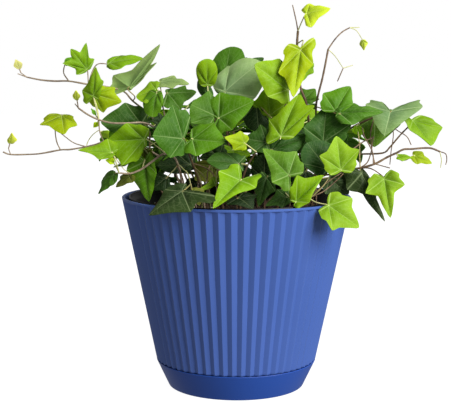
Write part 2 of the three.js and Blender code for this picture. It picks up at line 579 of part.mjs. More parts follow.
// A blade from its base, tip and two side lobes. Each half is the kind's half outline, sheared to its own side
// lobe, and both faces fan out from the point where the veins meet.
function blade(kind, base, tip, sides, ears) {
  const { lobe, half } = bladeKinds[kind];
  const along = tip.clone().sub(base);
  const [lobeAcross, lobeAlong] = half[lobe];
  const across = sides.map((side) =>
    side.clone().sub(base).addScaledVector(along, -lobeAlong).divideScalar(lobeAcross),
  );
  const normal = across[1].clone().sub(across[0]).cross(along).normalize();
  const at = (side, u, v) => base.clone().addScaledVector(along, v).addScaledVector(across[side], u);
  const edgeOf = (side) =>
    half.map(([u, v]) => (v < earHeight ? at(side, u * ears[side], v * ears[side]) : at(side, u, v)));
  const rightEdge = edgeOf(1);
  const leftEdge = edgeOf(0);
  const edge = [base.clone(), ...rightEdge, tip.clone(), ...leftEdge.reverse()];
  const middle = at(0, 0, 0.12).addScaledVector(normal, bladeArch * along.length());
  const face = [middle, ...edge];
  const lift = normal.multiplyScalar(bladeThickness / 2);
  const corners = [...face.map((p) => p.clone().add(lift)), ...face.map((p) => p.clone().sub(lift))];
  const count = face.length;
  const index = [];
  for (let i = 1; i < count; i++) {
    const next = (i % (count - 1)) + 1;
    index.push(0, i, next, count, count + next, count + i);
    index.push(i, count + i, next, next, count + i, count + next);
  }
  const geometry = new THREE.BufferGeometry().setFromPoints(corners);
  geometry.setIndex(index);
  return { body: solid(geometry), heart: base.clone().lerp(middle, 0.6) };
}

// One leafy stem: its runs, and each blade on its petiole, fused into one body.
function leafyStem(name, points, runs, blades) {
  const parts = [];
  for (const [radius, ...stops] of runs) parts.push(tube(stops.map((i) => points[i]), radius, radius < 0.8 ? 3 : 4));
  for (const { kind, from, base, tip, sides, ears, via } of blades) {
    const made = blade(kind, base, tip, sides, ears);
    parts.push(made.body);
    parts.push(tube([points[from], ...via, made.heart], petioleRadius, 3));
  }
  const fused = parts.reduce((a, b) => a.add(b));
  return meshOf(name, wholeBody(fused), plantMaterial());
}

function rootPoints([x, y]) {
  return [
    new THREE.Vector3(x, y, soilHeight - rootDepth),
    new THREE.Vector3(x, y, soilHeight + rootStraight),
  ];
}

function frontStem({ name, root, points, runs, blades }) {
  const [rootEnd, collar] = rootPoints(root);
  const places = [rootEnd, ...points.map(seen), collar];
  const collarIndex = places.length - 1;
  const rooted = runs.map(([radius, first, ...rest]) =>
    first === 0 ? [radius, 0, collarIndex, ...rest] : [radius, first, ...rest],
  );
  const leaves = blades.map(([kind, from, base, tip, left, right, special = {}]) => ({
    kind,
    from,
    base: seen(base),
    tip: seen(tip),
    sides: [seen(left), seen(right)],
    ears: special.ears || [1, 1],
    via: (special.via || []).map(seen),
  }));
  return leafyStem(name, places, rooted, leaves);
}

function backStem(number) {
  const angle = ((backSectorStart + backSector * number) * Math.PI) / 180;
  const outward = new THREE.Vector3(Math.cos(angle), Math.sin(angle), 0);
  const sideways = new THREE.Vector3(-Math.sin(angle), Math.cos(angle), 0);
  const upward = new THREE.Vector3(0, 0, 1);
  const at = (distance, height, side) =>
    new THREE.Vector3(0, 0, height).addScaledVector(outward, distance).addScaledVector(sideways, side);
  const rootDistance = backRoots[number % 2];
  const root = [rootDistance * outward.x, rootDistance * outward.y];
  const [rootEnd, collar] = rootPoints(root);
  const rise = stray(3) + (number % 2 ? backStagger : -backStagger);
  const places = [rootEnd, ...backStemPath.map(([r, z]) => at(r + stray(2), z + rise, stray(2))), collar];
  const leaves = backPlaces.map(([distance, height, side, out, over, up, size, from]) => {
    const base = at(distance + stray(backShake), height + rise + stray(backShake), side * 7 + stray(backShake / 2));
    const along = outward.clone().multiplyScalar(out).addScaledVector(sideways, over * (side || 1));
    along.addScaledVector(upward, up + stray(0.12)).normalize();
    const facing = upward.clone().multiplyScalar(0.8).addScaledVector(outward, 0.6 + stray(0.2));
    const across = along.clone().cross(facing).normalize();
    const normal = across.clone().cross(along);
    const length = size * (1 + stray(0.12));
    const lobe = (turn) =>
      base.clone().addScaledVector(along, 0.36 * length).addScaledVector(across, turn * 0.52 * length)
        .addScaledVector(normal, 0.12 * length);
    return {
      kind: "plain",
      from,
      base,
      tip: base.clone().addScaledVector(along, length),
      sides: [lobe(-1), lobe(1)],
      ears: [1, 1],
      via: [],
    };
  });
  return { root, mesh: leafyStem(`leafy_stem_back_${number + 1}`, places, [[1.2, 0, 5, 1, 2, 3, 4]], leaves) };
}

const backStems = Array.from({ length: backStemCount }, (_, number) => backStem(number));
const pottedIvy = new THREE.Group();
pottedIvy.name = "potted_ivy";
pottedIvy.add(planter(), saucer(), growerPot());
pottedIvy.add(soil([...frontStems.map((stem) => stem.root), ...backStems.map((stem) => stem.root)]));
for (const stem of frontStems) pottedIvy.add(frontStem(stem));
for (const stem of backStems) pottedIvy.add(stem.mesh);

export default pottedIvy;
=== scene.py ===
import bpy
import math
import random
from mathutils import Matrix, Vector, noise


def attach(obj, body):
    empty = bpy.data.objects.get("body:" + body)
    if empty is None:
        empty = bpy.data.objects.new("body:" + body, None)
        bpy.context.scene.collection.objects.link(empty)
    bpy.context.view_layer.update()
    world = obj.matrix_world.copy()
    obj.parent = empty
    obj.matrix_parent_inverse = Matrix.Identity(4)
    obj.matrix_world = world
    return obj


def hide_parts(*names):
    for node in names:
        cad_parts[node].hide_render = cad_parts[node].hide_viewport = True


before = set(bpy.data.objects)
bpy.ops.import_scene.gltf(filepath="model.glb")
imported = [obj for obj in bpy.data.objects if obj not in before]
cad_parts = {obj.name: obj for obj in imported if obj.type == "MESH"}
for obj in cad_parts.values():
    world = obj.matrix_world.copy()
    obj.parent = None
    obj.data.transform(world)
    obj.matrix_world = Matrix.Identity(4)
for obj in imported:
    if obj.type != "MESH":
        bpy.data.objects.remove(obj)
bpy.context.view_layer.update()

mm = 0.001
eye = Vector((-8.19, -839.7, 237.1))  # the camera's place in millimetres, where the plant's points are read from
upward = Vector((0, 0, 1))


# Helpers for modelling
def deselectAll():
    if bpy.context.mode != "OBJECT":
        bpy.ops.object.mode_set(mode="OBJECT")
    bpy.ops.object.select_all(action="DESELECT")


def activate(piece):
    deselectAll()
    piece.select_set(True)
    bpy.context.view_layer.objects.active = piece


def addObject(name, data):
    made = bpy.data.objects.new(name, data)
    bpy.context.collection.objects.link(made)
    return made


def copyPiece(piece):
    copy = piece.copy()
    copy.data = piece.data.copy()
    bpy.context.collection.objects.link(copy)
    return copy


def settle(piece):
    activate(piece)
    bpy.ops.object.transform_apply(location=True, rotation=True, scale=True)


def smooth(piece, degrees):
    activate(piece)
    bpy.ops.object.shade_smooth_by_angle(angle=math.radians(degrees))


def joinPieces(pieces, name):
    activate(pieces[0])
    for piece in pieces:
        piece.select_set(True)
    if len(pieces) > 1:
        bpy.ops.object.join()
    joined = bpy.context.object
    joined.name = name
    joined.data.name = name
    return joined


# A turned wall: a circle drawn up and in through [radius, height] stops, all in millimetres.
def turnWall(name, stops, sides):
    deselectAll()
    radius, height = stops[0]
    bpy.ops.mesh.primitive_circle_add(
        vertices=sides, radius=radius * mm, fill_type="NOTHING", location=(0, 0, height * mm)
    )
    piece = bpy.context.object
    piece.name = name
    settle(piece)
    bpy.ops.object.mode_set(mode="EDIT")
    bpy.ops.mesh.select_all(action="SELECT")
    for nextRadius, nextHeight in stops[1:]:
        bpy.ops.mesh.extrude_edges_move(TRANSFORM_OT_translate={"value": (0, 0, (nextHeight - height) * mm)})
        scale = nextRadius / radius
        bpy.ops.transform.resize(value=(scale, scale, 1), center_override=(0, 0, nextHeight * mm))
        radius, height = nextRadius, nextHeight
    bpy.ops.object.mode_set(mode="OBJECT")
    return piece


# Closes the two open ends of a turned wall, turns its faces outwards and smooths it up to an angle in degrees.
def closeEnds(piece, smoothAngle):
    activate(piece)
    bpy.ops.object.mode_set(mode="EDIT")
    bpy.ops.mesh.select_mode(type="EDGE")
    bpy.ops.mesh.select_all(action="DESELECT")
    bpy.ops.mesh.select_non_manifold(extend=False)
    bpy.ops.mesh.edge_face_add()
    bpy.ops.mesh.select_all(action="SELECT")
    bpy.ops.mesh.normals_make_consistent(inside=False)
    bpy.ops.mesh.select_mode(type="VERT")
    bpy.ops.object.mode_set(mode="OBJECT")
    smooth(piece, smoothAngle)
    return piece


# Helpers for materials
def shade(code):
    values = [int(code[i:i + 2], 16) / 255 for i in (1, 3, 5)]
    return tuple(v / 12.92 if v < 0.04045 else ((v + 0.055) / 1.055) ** 2.4 for v in values) + (1,)


class Finish:
    def __init__(self, name, roughness, **settings):
        self.material = bpy.data.materials.new(name)
        self.material.use_nodes = True
        self.tree = self.material.node_tree
        self.shader = self.tree.nodes["Principled BSDF"]
        self.shader.inputs["Roughness"].default_value = roughness
        for key, value in settings.items():
            self.shader.inputs[key.replace("_", " ")].default_value = value

    def node(self, kind, links=None, **settings):
        made = self.tree.nodes.new(kind)
        for key, value in settings.items():
            setattr(made, key, value)
        for socket, source in (links or {}).items():
            self.put(source, made.inputs[socket])
        return made

    def put(self, source, socket):
        if hasattr(source, "links"):
            self.tree.links.new(source, socket)
        else:
            socket.default_value = source

    def calc(self, operation, first, second=0.0):
        return self.node("ShaderNodeMath", {0: first, 1: second}, operation=operation).outputs[0]

    def ramp(self, value, low, high, fromValue=0.0, toValue=1.0):
        links = {"Value": value, "From Min": low, "From Max": high, "To Min": fromValue, "To Max": toValue}
        return self.node("ShaderNodeMapRange", links, interpolation_type="SMOOTHSTEP").outputs["Result"]

    def mix(self, share, first, second, blend="MIX"):
        made = self.node("ShaderNodeMix", data_type="RGBA", blend_type=blend)
        for index, value in ((0, share), (6, first), (7, second)):
            self.put(value, made.inputs[index])
        return made.outputs[2]

    def objectPlace(self, scale=(1, 1, 1)):
        place = self.node("ShaderNodeTexCoord").outputs["Object"]
        return self.node("ShaderNodeMapping", {"Vector": place, "Scale": scale}).outputs["Vector"]

    def noise(self, place, scale, detail, roughness=0.55):
        links = {"Vector": place, "Scale": scale, "Detail": detail, "Roughness": roughness}
        return self.node("ShaderNodeTexNoise", links).outputs["Fac"]

    def bump(self, height, distance, strength):
        made = self.node("ShaderNodeBump", {"Height": height, "Distance": distance, "Strength": strength})
        self.put(made.outputs["Normal"], self.shader.inputs["Normal"])

    def colour(self, source):
        self.put(source, self.shader.inputs["Base Color"])

    def rough(self, source):
        self.put(source, self.shader.inputs["Roughness"])


# A finish of two shades. A cloud of noise turns dark into light, within a range where one is given, and a grain
# of finer noise, or else the cloud, stands in relief. Cloud and grain are a noise's scale and detail, relief is
# its depth in metres and its strength, and roughSpread is how far the roughness goes down and up with the cloud.
def finishTwoTone(name, look):
    made = Finish(name, look["roughness"], Specular_IOR_Level=look.get("specular", 0.5))
    cloud = made.noise(made.objectPlace(look.get("stretch", (1, 1, 1))), *look["cloud"])
    share = made.ramp(cloud, *look["range"]) if "range" in look else cloud
    made.colour(made.mix(share, shade(look["dark"]), shade(look["light"])))
    if "roughSpread" in look:
        down, up = look["roughSpread"]
        made.rough(made.ramp(cloud, 0.3, 0.7, look["roughness"] - down, look["roughness"] + up))
    grain = made.noise(made.objectPlace(), *look["grain"]) if "grain" in look else cloud
    made.bump(grain, *look["relief"])
    return made.material


# The camera: the photograph's own view.
cameraLook = {
    "place": (-0.00819, -0.8397, 0.23707),
    "downward": 0.1236,  # radians below the level
    "roll": 0.0022,
    "lens": 93.44,
    "sensor": 36,
    "clipEnd": 50,
}


def setCamera():
    look = cameraLook
    data = bpy.data.cameras.new("photoCamera")
    data.lens = look["lens"]
    data.sensor_width = look["sensor"]
    data.clip_end = look["clipEnd"]
    camera = addObject("photoCamera", data)
    camera.location = look["place"]
    camera.rotation_euler = (math.pi / 2 - look["downward"], -look["roll"], 0)
    bpy.context.scene.camera = camera


# The moulded plastic of the outer pot and the saucer: a faint cloudiness and a fine grain.
plasticLook = {
    "roughness": 0.42,
    "roughSpread": (0.04, 0.05),
    "cloud": (22, 4),
    "grain": (900, 2),
    "relief": (0.00012, 0.35),
}

# The outer pot
potLook = {
    "pleats": 60,
    "pointsPerPleat": 8,
    "depth": 0.023,  # of the radius
    "ridge": 0.04,  # share of the depth that a pleat's ridge stands back
    "fold": 0.92,  # and how much further back its valley does
    "bottomRadius": 58.1,
    "rimRadius": 82.5,
    "bottom": 19.1,
    "wallHeights": (20.4, 45, 70, 95, 120),
    "lipBottom": 136.2,
    "top": 137.8,
    "inside": [(80.6, 137.8), (80.2, 137.4), (79.0, 134.0), (55.6, 24.0), (53.4, 19.0), (46.4, 5.7), (6, 5.7)],
    "foot": [(6, 2.6), (46.5, 2.6), (48.2, 2.7), (53.9, 17.5), (54.6, 19.1)],
    "smoothAngle": 14,
    "finish": {**plasticLook, "dark": "#3d5a9e", "light": "#425ea4", "specular": 0.42},
}


def modelPot():
    look = potLook
    points = look["pleats"] * look["pointsPerPleat"]
    bottom, lipBottom, top = look["bottom"], look["lipBottom"], look["top"]
    bottomRadius, rimRadius = look["bottomRadius"], look["rimRadius"]

    def outside(height):
        return bottomRadius + (rimRadius - bottomRadius) / (lipBottom - bottom) * (height - bottom)

    wall = [(bottomRadius - 1.2, bottom + 0.1), (bottomRadius - 0.2, bottom + 0.4)]
    wall += [(outside(height), height) for height in (*look["wallHeights"], lipBottom - 0.5)]
    lip = [(rimRadius - 0.1, lipBottom + 0.1), (rimRadius, top - 0.5), (rimRadius - 0.5, top)]
    piece = turnWall("outer_pot", look["foot"] + wall + lip + look["inside"], points)
    # The pleats: every point of the outer wall, between the foot and the lip, is drawn in by its share.
    for vertex in piece.data.vertices:
        height = vertex.co.z / mm
        radius = math.hypot(vertex.co.x, vertex.co.y) / mm
        onWall = bottom + 0.05 < height < lipBottom - 0.49
        if onWall and radius > max(bottomRadius - 1.5, outside(height) - 2):
            angle = math.atan2(vertex.co.x, -vertex.co.y) % (2 * math.pi)
            along = (angle / (2 * math.pi) * points) % look["pointsPerPleat"]
            back = look["ridge"] + look["fold"] * abs(along / look["pointsPerPleat"] * 2 - 1)
            vertex.co.x *= 1 - look["depth"] * back
            vertex.co.y *= 1 - look["depth"] * back
    return closeEnds(piece, look["smoothAngle"])


# The saucer
saucerLook = {
    "stops": [(8, 0), (48.4, 0), (49.3, 0.25), (49.7, 0.9), (57.7, 18.0), (58.0, 18.7), (57.8, 19.0), (56.4, 19.0),
              (55.9, 18.6), (48.8, 3.2), (47.6, 2.25), (8, 2.2)],
    "sides": 144,
    "smoothAngle": 40,
    "finish": {**plasticLook, "dark": "#1f4594", "light": "#234ba0", "specular": 0.3},
}

# The nursery pot inside
nurseryLook = {
    "stops": [(8, 6.0), (41.2, 6.0), (42.2, 6.5), (74.6, 133.0), (75.2, 134.0), (77.0, 134.8), (77.5, 135.4),
              (77.6, 137.6), (77.1, 138.2), (76.4, 138.0), (76.1, 136.2), (75.6, 135.6), (73.7, 134.4),
              (73.1, 133.2), (41.0, 7.7), (40.4, 7.3), (8, 7.3)],
    "sides": 120,
    "smoothAngle": 50,
    "finish": {
        "roughness": 0.36, "specular": 0.16, "dark": "#050506", "light": "#0e0d0d",
        "cloud": (60, 5), "range": (0.45, 0.75), "grain": (400, 2), "relief": (0.0002, 0.3),
    },
}


# The saucer and the nursery pot are plain turned walls.
def modelTurned(name, look):
    return closeEnds(turnWall(name, look["stops"], look["sides"]), look["smoothAngle"])


# The potting mix
soilLook = {
    "bottom": 8.0,
    "bottomRadius": 39.4,
    "radius": 70.4,
    "edge": 124.8,
    "shoulder": 125.6,
    "height": 127.0,
    "hills": 1.1,
    "lumps": 1.3,
    "rings": 22,
    "sides": 72,
    "smoothAngle": 60,
    "roughness": 0.9,
    "dark": "#15100d",
    "brown": "#4a3526",
    "fibre": "#6b5540",
    "clump": (180, 6, 0.7),  # a noise's scale, detail and roughness
    "clumpRange": (0.35, 0.7),
    "fibreNoise": (700, 3),
    "fibreRange": (0.6, 0.72),
    "relief": (0.0015, 0.8),
    "seed": 41,
}


def soilTop(x, y):
    hill = math.sin(0.21 * x + 1.3) * math.cos(0.27 * y) + 0.5 * math.sin(0.55 * x - 0.43 * y)
    return soilLook["height"] + soilLook["hills"] * hill


def modelSoil():
    look = soilLook
    rim, count = look["radius"] - 1, look["rings"]
    side = [(8, look["bottom"]), (look["bottomRadius"], look["bottom"]), (look["radius"], look["edge"])]
    top = [(rim * (1 - step / count), look["shoulder"]) for step in range(count)] + [(0.6, look["shoulder"])]
    piece = turnWall("potting_mix", side + top, look["sides"])
    for vertex in piece.data.vertices:
        if vertex.co.z > 125 * mm:
            x, y = vertex.co.x / mm, vertex.co.y / mm
            rough = noise.noise(Vector((x, y, 3)) * 0.28) + 0.6 * noise.noise(Vector((x, y, 9)) * 0.9)
            vertex.co.z = (soilTop(x, y) + look["lumps"] * rough) * mm
    return closeEnds(piece, look["smoothAngle"])


def finishSoil():
    look = soilLook
    made = Finish("potting_mix", look["roughness"])
    place = made.objectPlace()
    clump = made.noise(place, *look["clump"])
    brown = made.mix(made.ramp(clump, *look["clumpRange"]), shade(look["dark"]), shade(look["brown"]))
    fibre = made.ramp(made.noise(place, *look["fibreNoise"]), *look["fibreRange"])
    made.colour(made.mix(fibre, brown, shade(look["fibre"])))
    made.bump(clump, *look["relief"])
    return made.material


# What lies on the potting mix
crumbGrain = {"roughness": 0.85, "cloud": (420, 4), "range": (0.35, 0.65), "relief": (0.0004, 0.6)}
crumbLook = {
    "bark_crumbs": {
        "count": 420, "size": (0.9, 2.6), "material": "bark_crumb",
        "finish": {**crumbGrain, "dark": "#1d1511", "light": "#5a4331"},
    },
    "perlite": {
        "count": 46, "size": (0.8, 1.7), "material": "perlite",
        "finish": {**crumbGrain, "dark": "#bdb8ad", "light": "#f0ede6"},
    },
}
crumbShape = {
    "lumps": 0.3,
    "lumpScale": 1.7,
    "squeeze": (0.6, 1.1),
    "spread": 0.97,  # of the soil's radius
    "lift": 0.4,  # of its size, above the soil
}


# One crumb is modelled; its copies are squeezed and turned each their own way.
def modelCrumbs(name, look, draw):
    deselectAll()
    bpy.ops.mesh.primitive_ico_sphere_add(subdivisions=1, radius=1)
    crumb = bpy.context.object
    for vertex in crumb.data.vertices:
        vertex.co *= 1 + crumbShape["lumps"] * noise.noise(vertex.co * crumbShape["lumpScale"])
    copies = []
    for _ in range(look["count"]):
        reach = soilLook["radius"] * math.sqrt(draw.random()) * crumbShape["spread"]
        angle = draw.uniform(0, 2 * math.pi)
        x, y = reach * math.cos(angle), reach * math.sin(angle)
        copy = copyPiece(crumb)
        size = draw.uniform(*look["size"])
        copy.scale = [size * mm * draw.uniform(*crumbShape["squeeze"]) for _ in range(3)]
        copy.rotation_euler = [draw.uniform(0, 6.2) for _ in range(3)]
        copy.location = (x * mm, y * mm, (soilTop(x, y) + size * crumbShape["lift"]) * mm)
        copies.append(copy)
    bpy.data.objects.remove(crumb)
    joined = joinPieces(copies, name)
    settle(joined)
    return joined


# The ivy
tones = {
    "bud": "#e2f254",
    "straw": "#c8c878",
    # A young leaf's yellow-green, which makeLeaf paints brighter, as painted light shining through it.
    "young": "#cbde2c",
    "lime": "#bada00",
    "fresh": "#a8d620",
    "bright": "#94c60a",
    "green": "#68a410",
    # A green with a painted sheen, also used as painted light on a leaf that lies in another's shadow.
    "soft": "#6ca028",
    "mid": "#5b9220",
    "moss": "#4e8418",
    "dark": "#3e6c1e",
    "dusk": "#40582a",
    "forest": "#2a5812",
    # A dark green, given mostly to leaves low inside the crown, where its darkness is partly painted shade.
    "deep": "#224016",
    # These three tones are greens with a painted greyish sheen.
    "pale": "#a4c474",
    "silver": "#b6dc94",
    "sage": "#90b26c",
    "olive": "#8a9430",
}

# A blade's half outline in its own length: [across, along], from the notch at its base to its tip. The point
# named by lobe is the side lobe's tip.
bladeKinds = {
    "common": {"lobe": 4, "half": [
        (0.12, -0.08), (0.31, -0.14), (0.47, 0.01), (0.46, 0.14), (0.58, 0.38), (0.36, 0.52), (0.2, 0.75),
    ]},
    "wide": {"lobe": 4, "half": [
        (0.14, -0.08), (0.33, -0.14), (0.5, 0.03), (0.5, 0.17), (0.58, 0.38), (0.42, 0.56), (0.25, 0.78),
    ]},
    "trident": {"lobe": 4, "half": [
        (0.12, -0.08), (0.31, -0.14), (0.46, 0.02), (0.45, 0.14), (0.58, 0.34), (0.24, 0.44), (0.15, 0.7),
    ]},
    "star": {"lobe": 3, "half": [
        (0.12, -0.04), (0.44, 0.04), (0.32, 0.26), (0.58, 0.66), (0.2, 0.64), (0.12, 0.82),
    ]},
    "arrow": {"lobe": 3, "half": [
        (0.1, -0.08), (0.27, -0.12), (0.37, 0.04), (0.44, 0.26), (0.27, 0.47), (0.16, 0.73),
    ]},
    "broad": {"lobe": 3, "half": [(0.14, -0.08), (0.36, -0.02), (0.5, 0.26), (0.52, 0.55), (0.36, 0.84)]},
    "bud": {"lobe": 2, "half": [(0.14, 0.02), (0.3, 0.22), (0.36, 0.45), (0.16, 0.76)]},
}

leafLook = {
    "rings": 6,
    "ringSpread": 0.85,
    "perStretch": 3,  # edge points along each stretch of the outline
    "roundness": 0.75,  # of the edge between those points
    "heart": 0.05,  # where the veins meet
    "thickness": 0.55,
    "quilt": 0.06,  # how far the blade swells between its veins, of its length
    "quiltWidth": 0.12,  # how far from a vein it is full
    "droop": 0.07,
    "droopShare": (0.5, 1.4),
    "droopMiddle": 0.45,  # where along the blade it bends most
    "wave": 0.036,
    "waveCount": (3, 4, 5),
    "earTop": 0.05,  # below this height the base lobes may stretch,
    "earBlend": 0.12,  # fully so this much further down
    "depth": 0.57,  # of the tones, which are read in full light
    # Buds and young leaves take more of their tone: painted light shining through them.
    "litThroughDepth": 0.9,
    "lightStray": 0.1,  # from leaf to leaf
    "warmStray": 0.05,
    "inner": 0.84,  # of the tone at the heart, then what the edge, the tip and the edge's warmth add
    "edgeLight": 0.26,
    "tipLight": 0.12,
    "edgeWarmth": 0.12,
    "paleOnes": ("bud", "young", "lime", "fresh", "bright", "green"),  # leaves on pale petioles
    "woody": {"left_upper": (0, 1, 2, 3), "left_middle": (4, 5, 6), "right_runner": (2, 4)},  # and on brown ones
    "seed": 7,
}

stemLook = {
    "share": 0.66,  # of a run's radius
    "taper": 0.85,
    "thin": 0.6,  # runs under this radius are green
    "petiole": (0.46, 0.38),
    "stalk": (0.5, 0.36),
    "knots": 0.08,
    "smoothAngle": 60,
}

plantRules = {
    "soilHeight": 127,
    "rootDepth": 10,
    "rootStraight": 5,
    "backStems": 5,
    "backSectorStart": 30,
    "backSector": 31,
    "backRoots": (26, 38),
    "backPath": ((50, 152), (60, 172), (76, 188), (94, 184)),
    "backRadius": 1.2,
    # distance from the axis, height, to which side, outward, sideways and upward lean, size, from which point
    "backPlaces": (
        (44, 142, 0, 0.85, 0.1, 0.1, 23, 1),
        (46, 149, 1, 0.8, 0.35, 0.2, 23, 1),
        (54, 158, 0, 0.9, 0.1, -0.05, 25, 1),
        (62, 172, 1, 0.8, 0.3, 0.25, 25, 2),
        (78, 190, -1, 0.7, 0.4, -0.2, 26, 3),
        (78, 186, 1, 0.7, 0.4, -0.45, 25, 3),
        (98, 184, 0, 0.6, 0.1, -0.75, 27, 4),
    ),
    "backTones": ("mid", "green", "bright", "mid", "green", "dark"),
    "backShake": 2,
    "backStagger": 5,
    "seed": 2603,
}

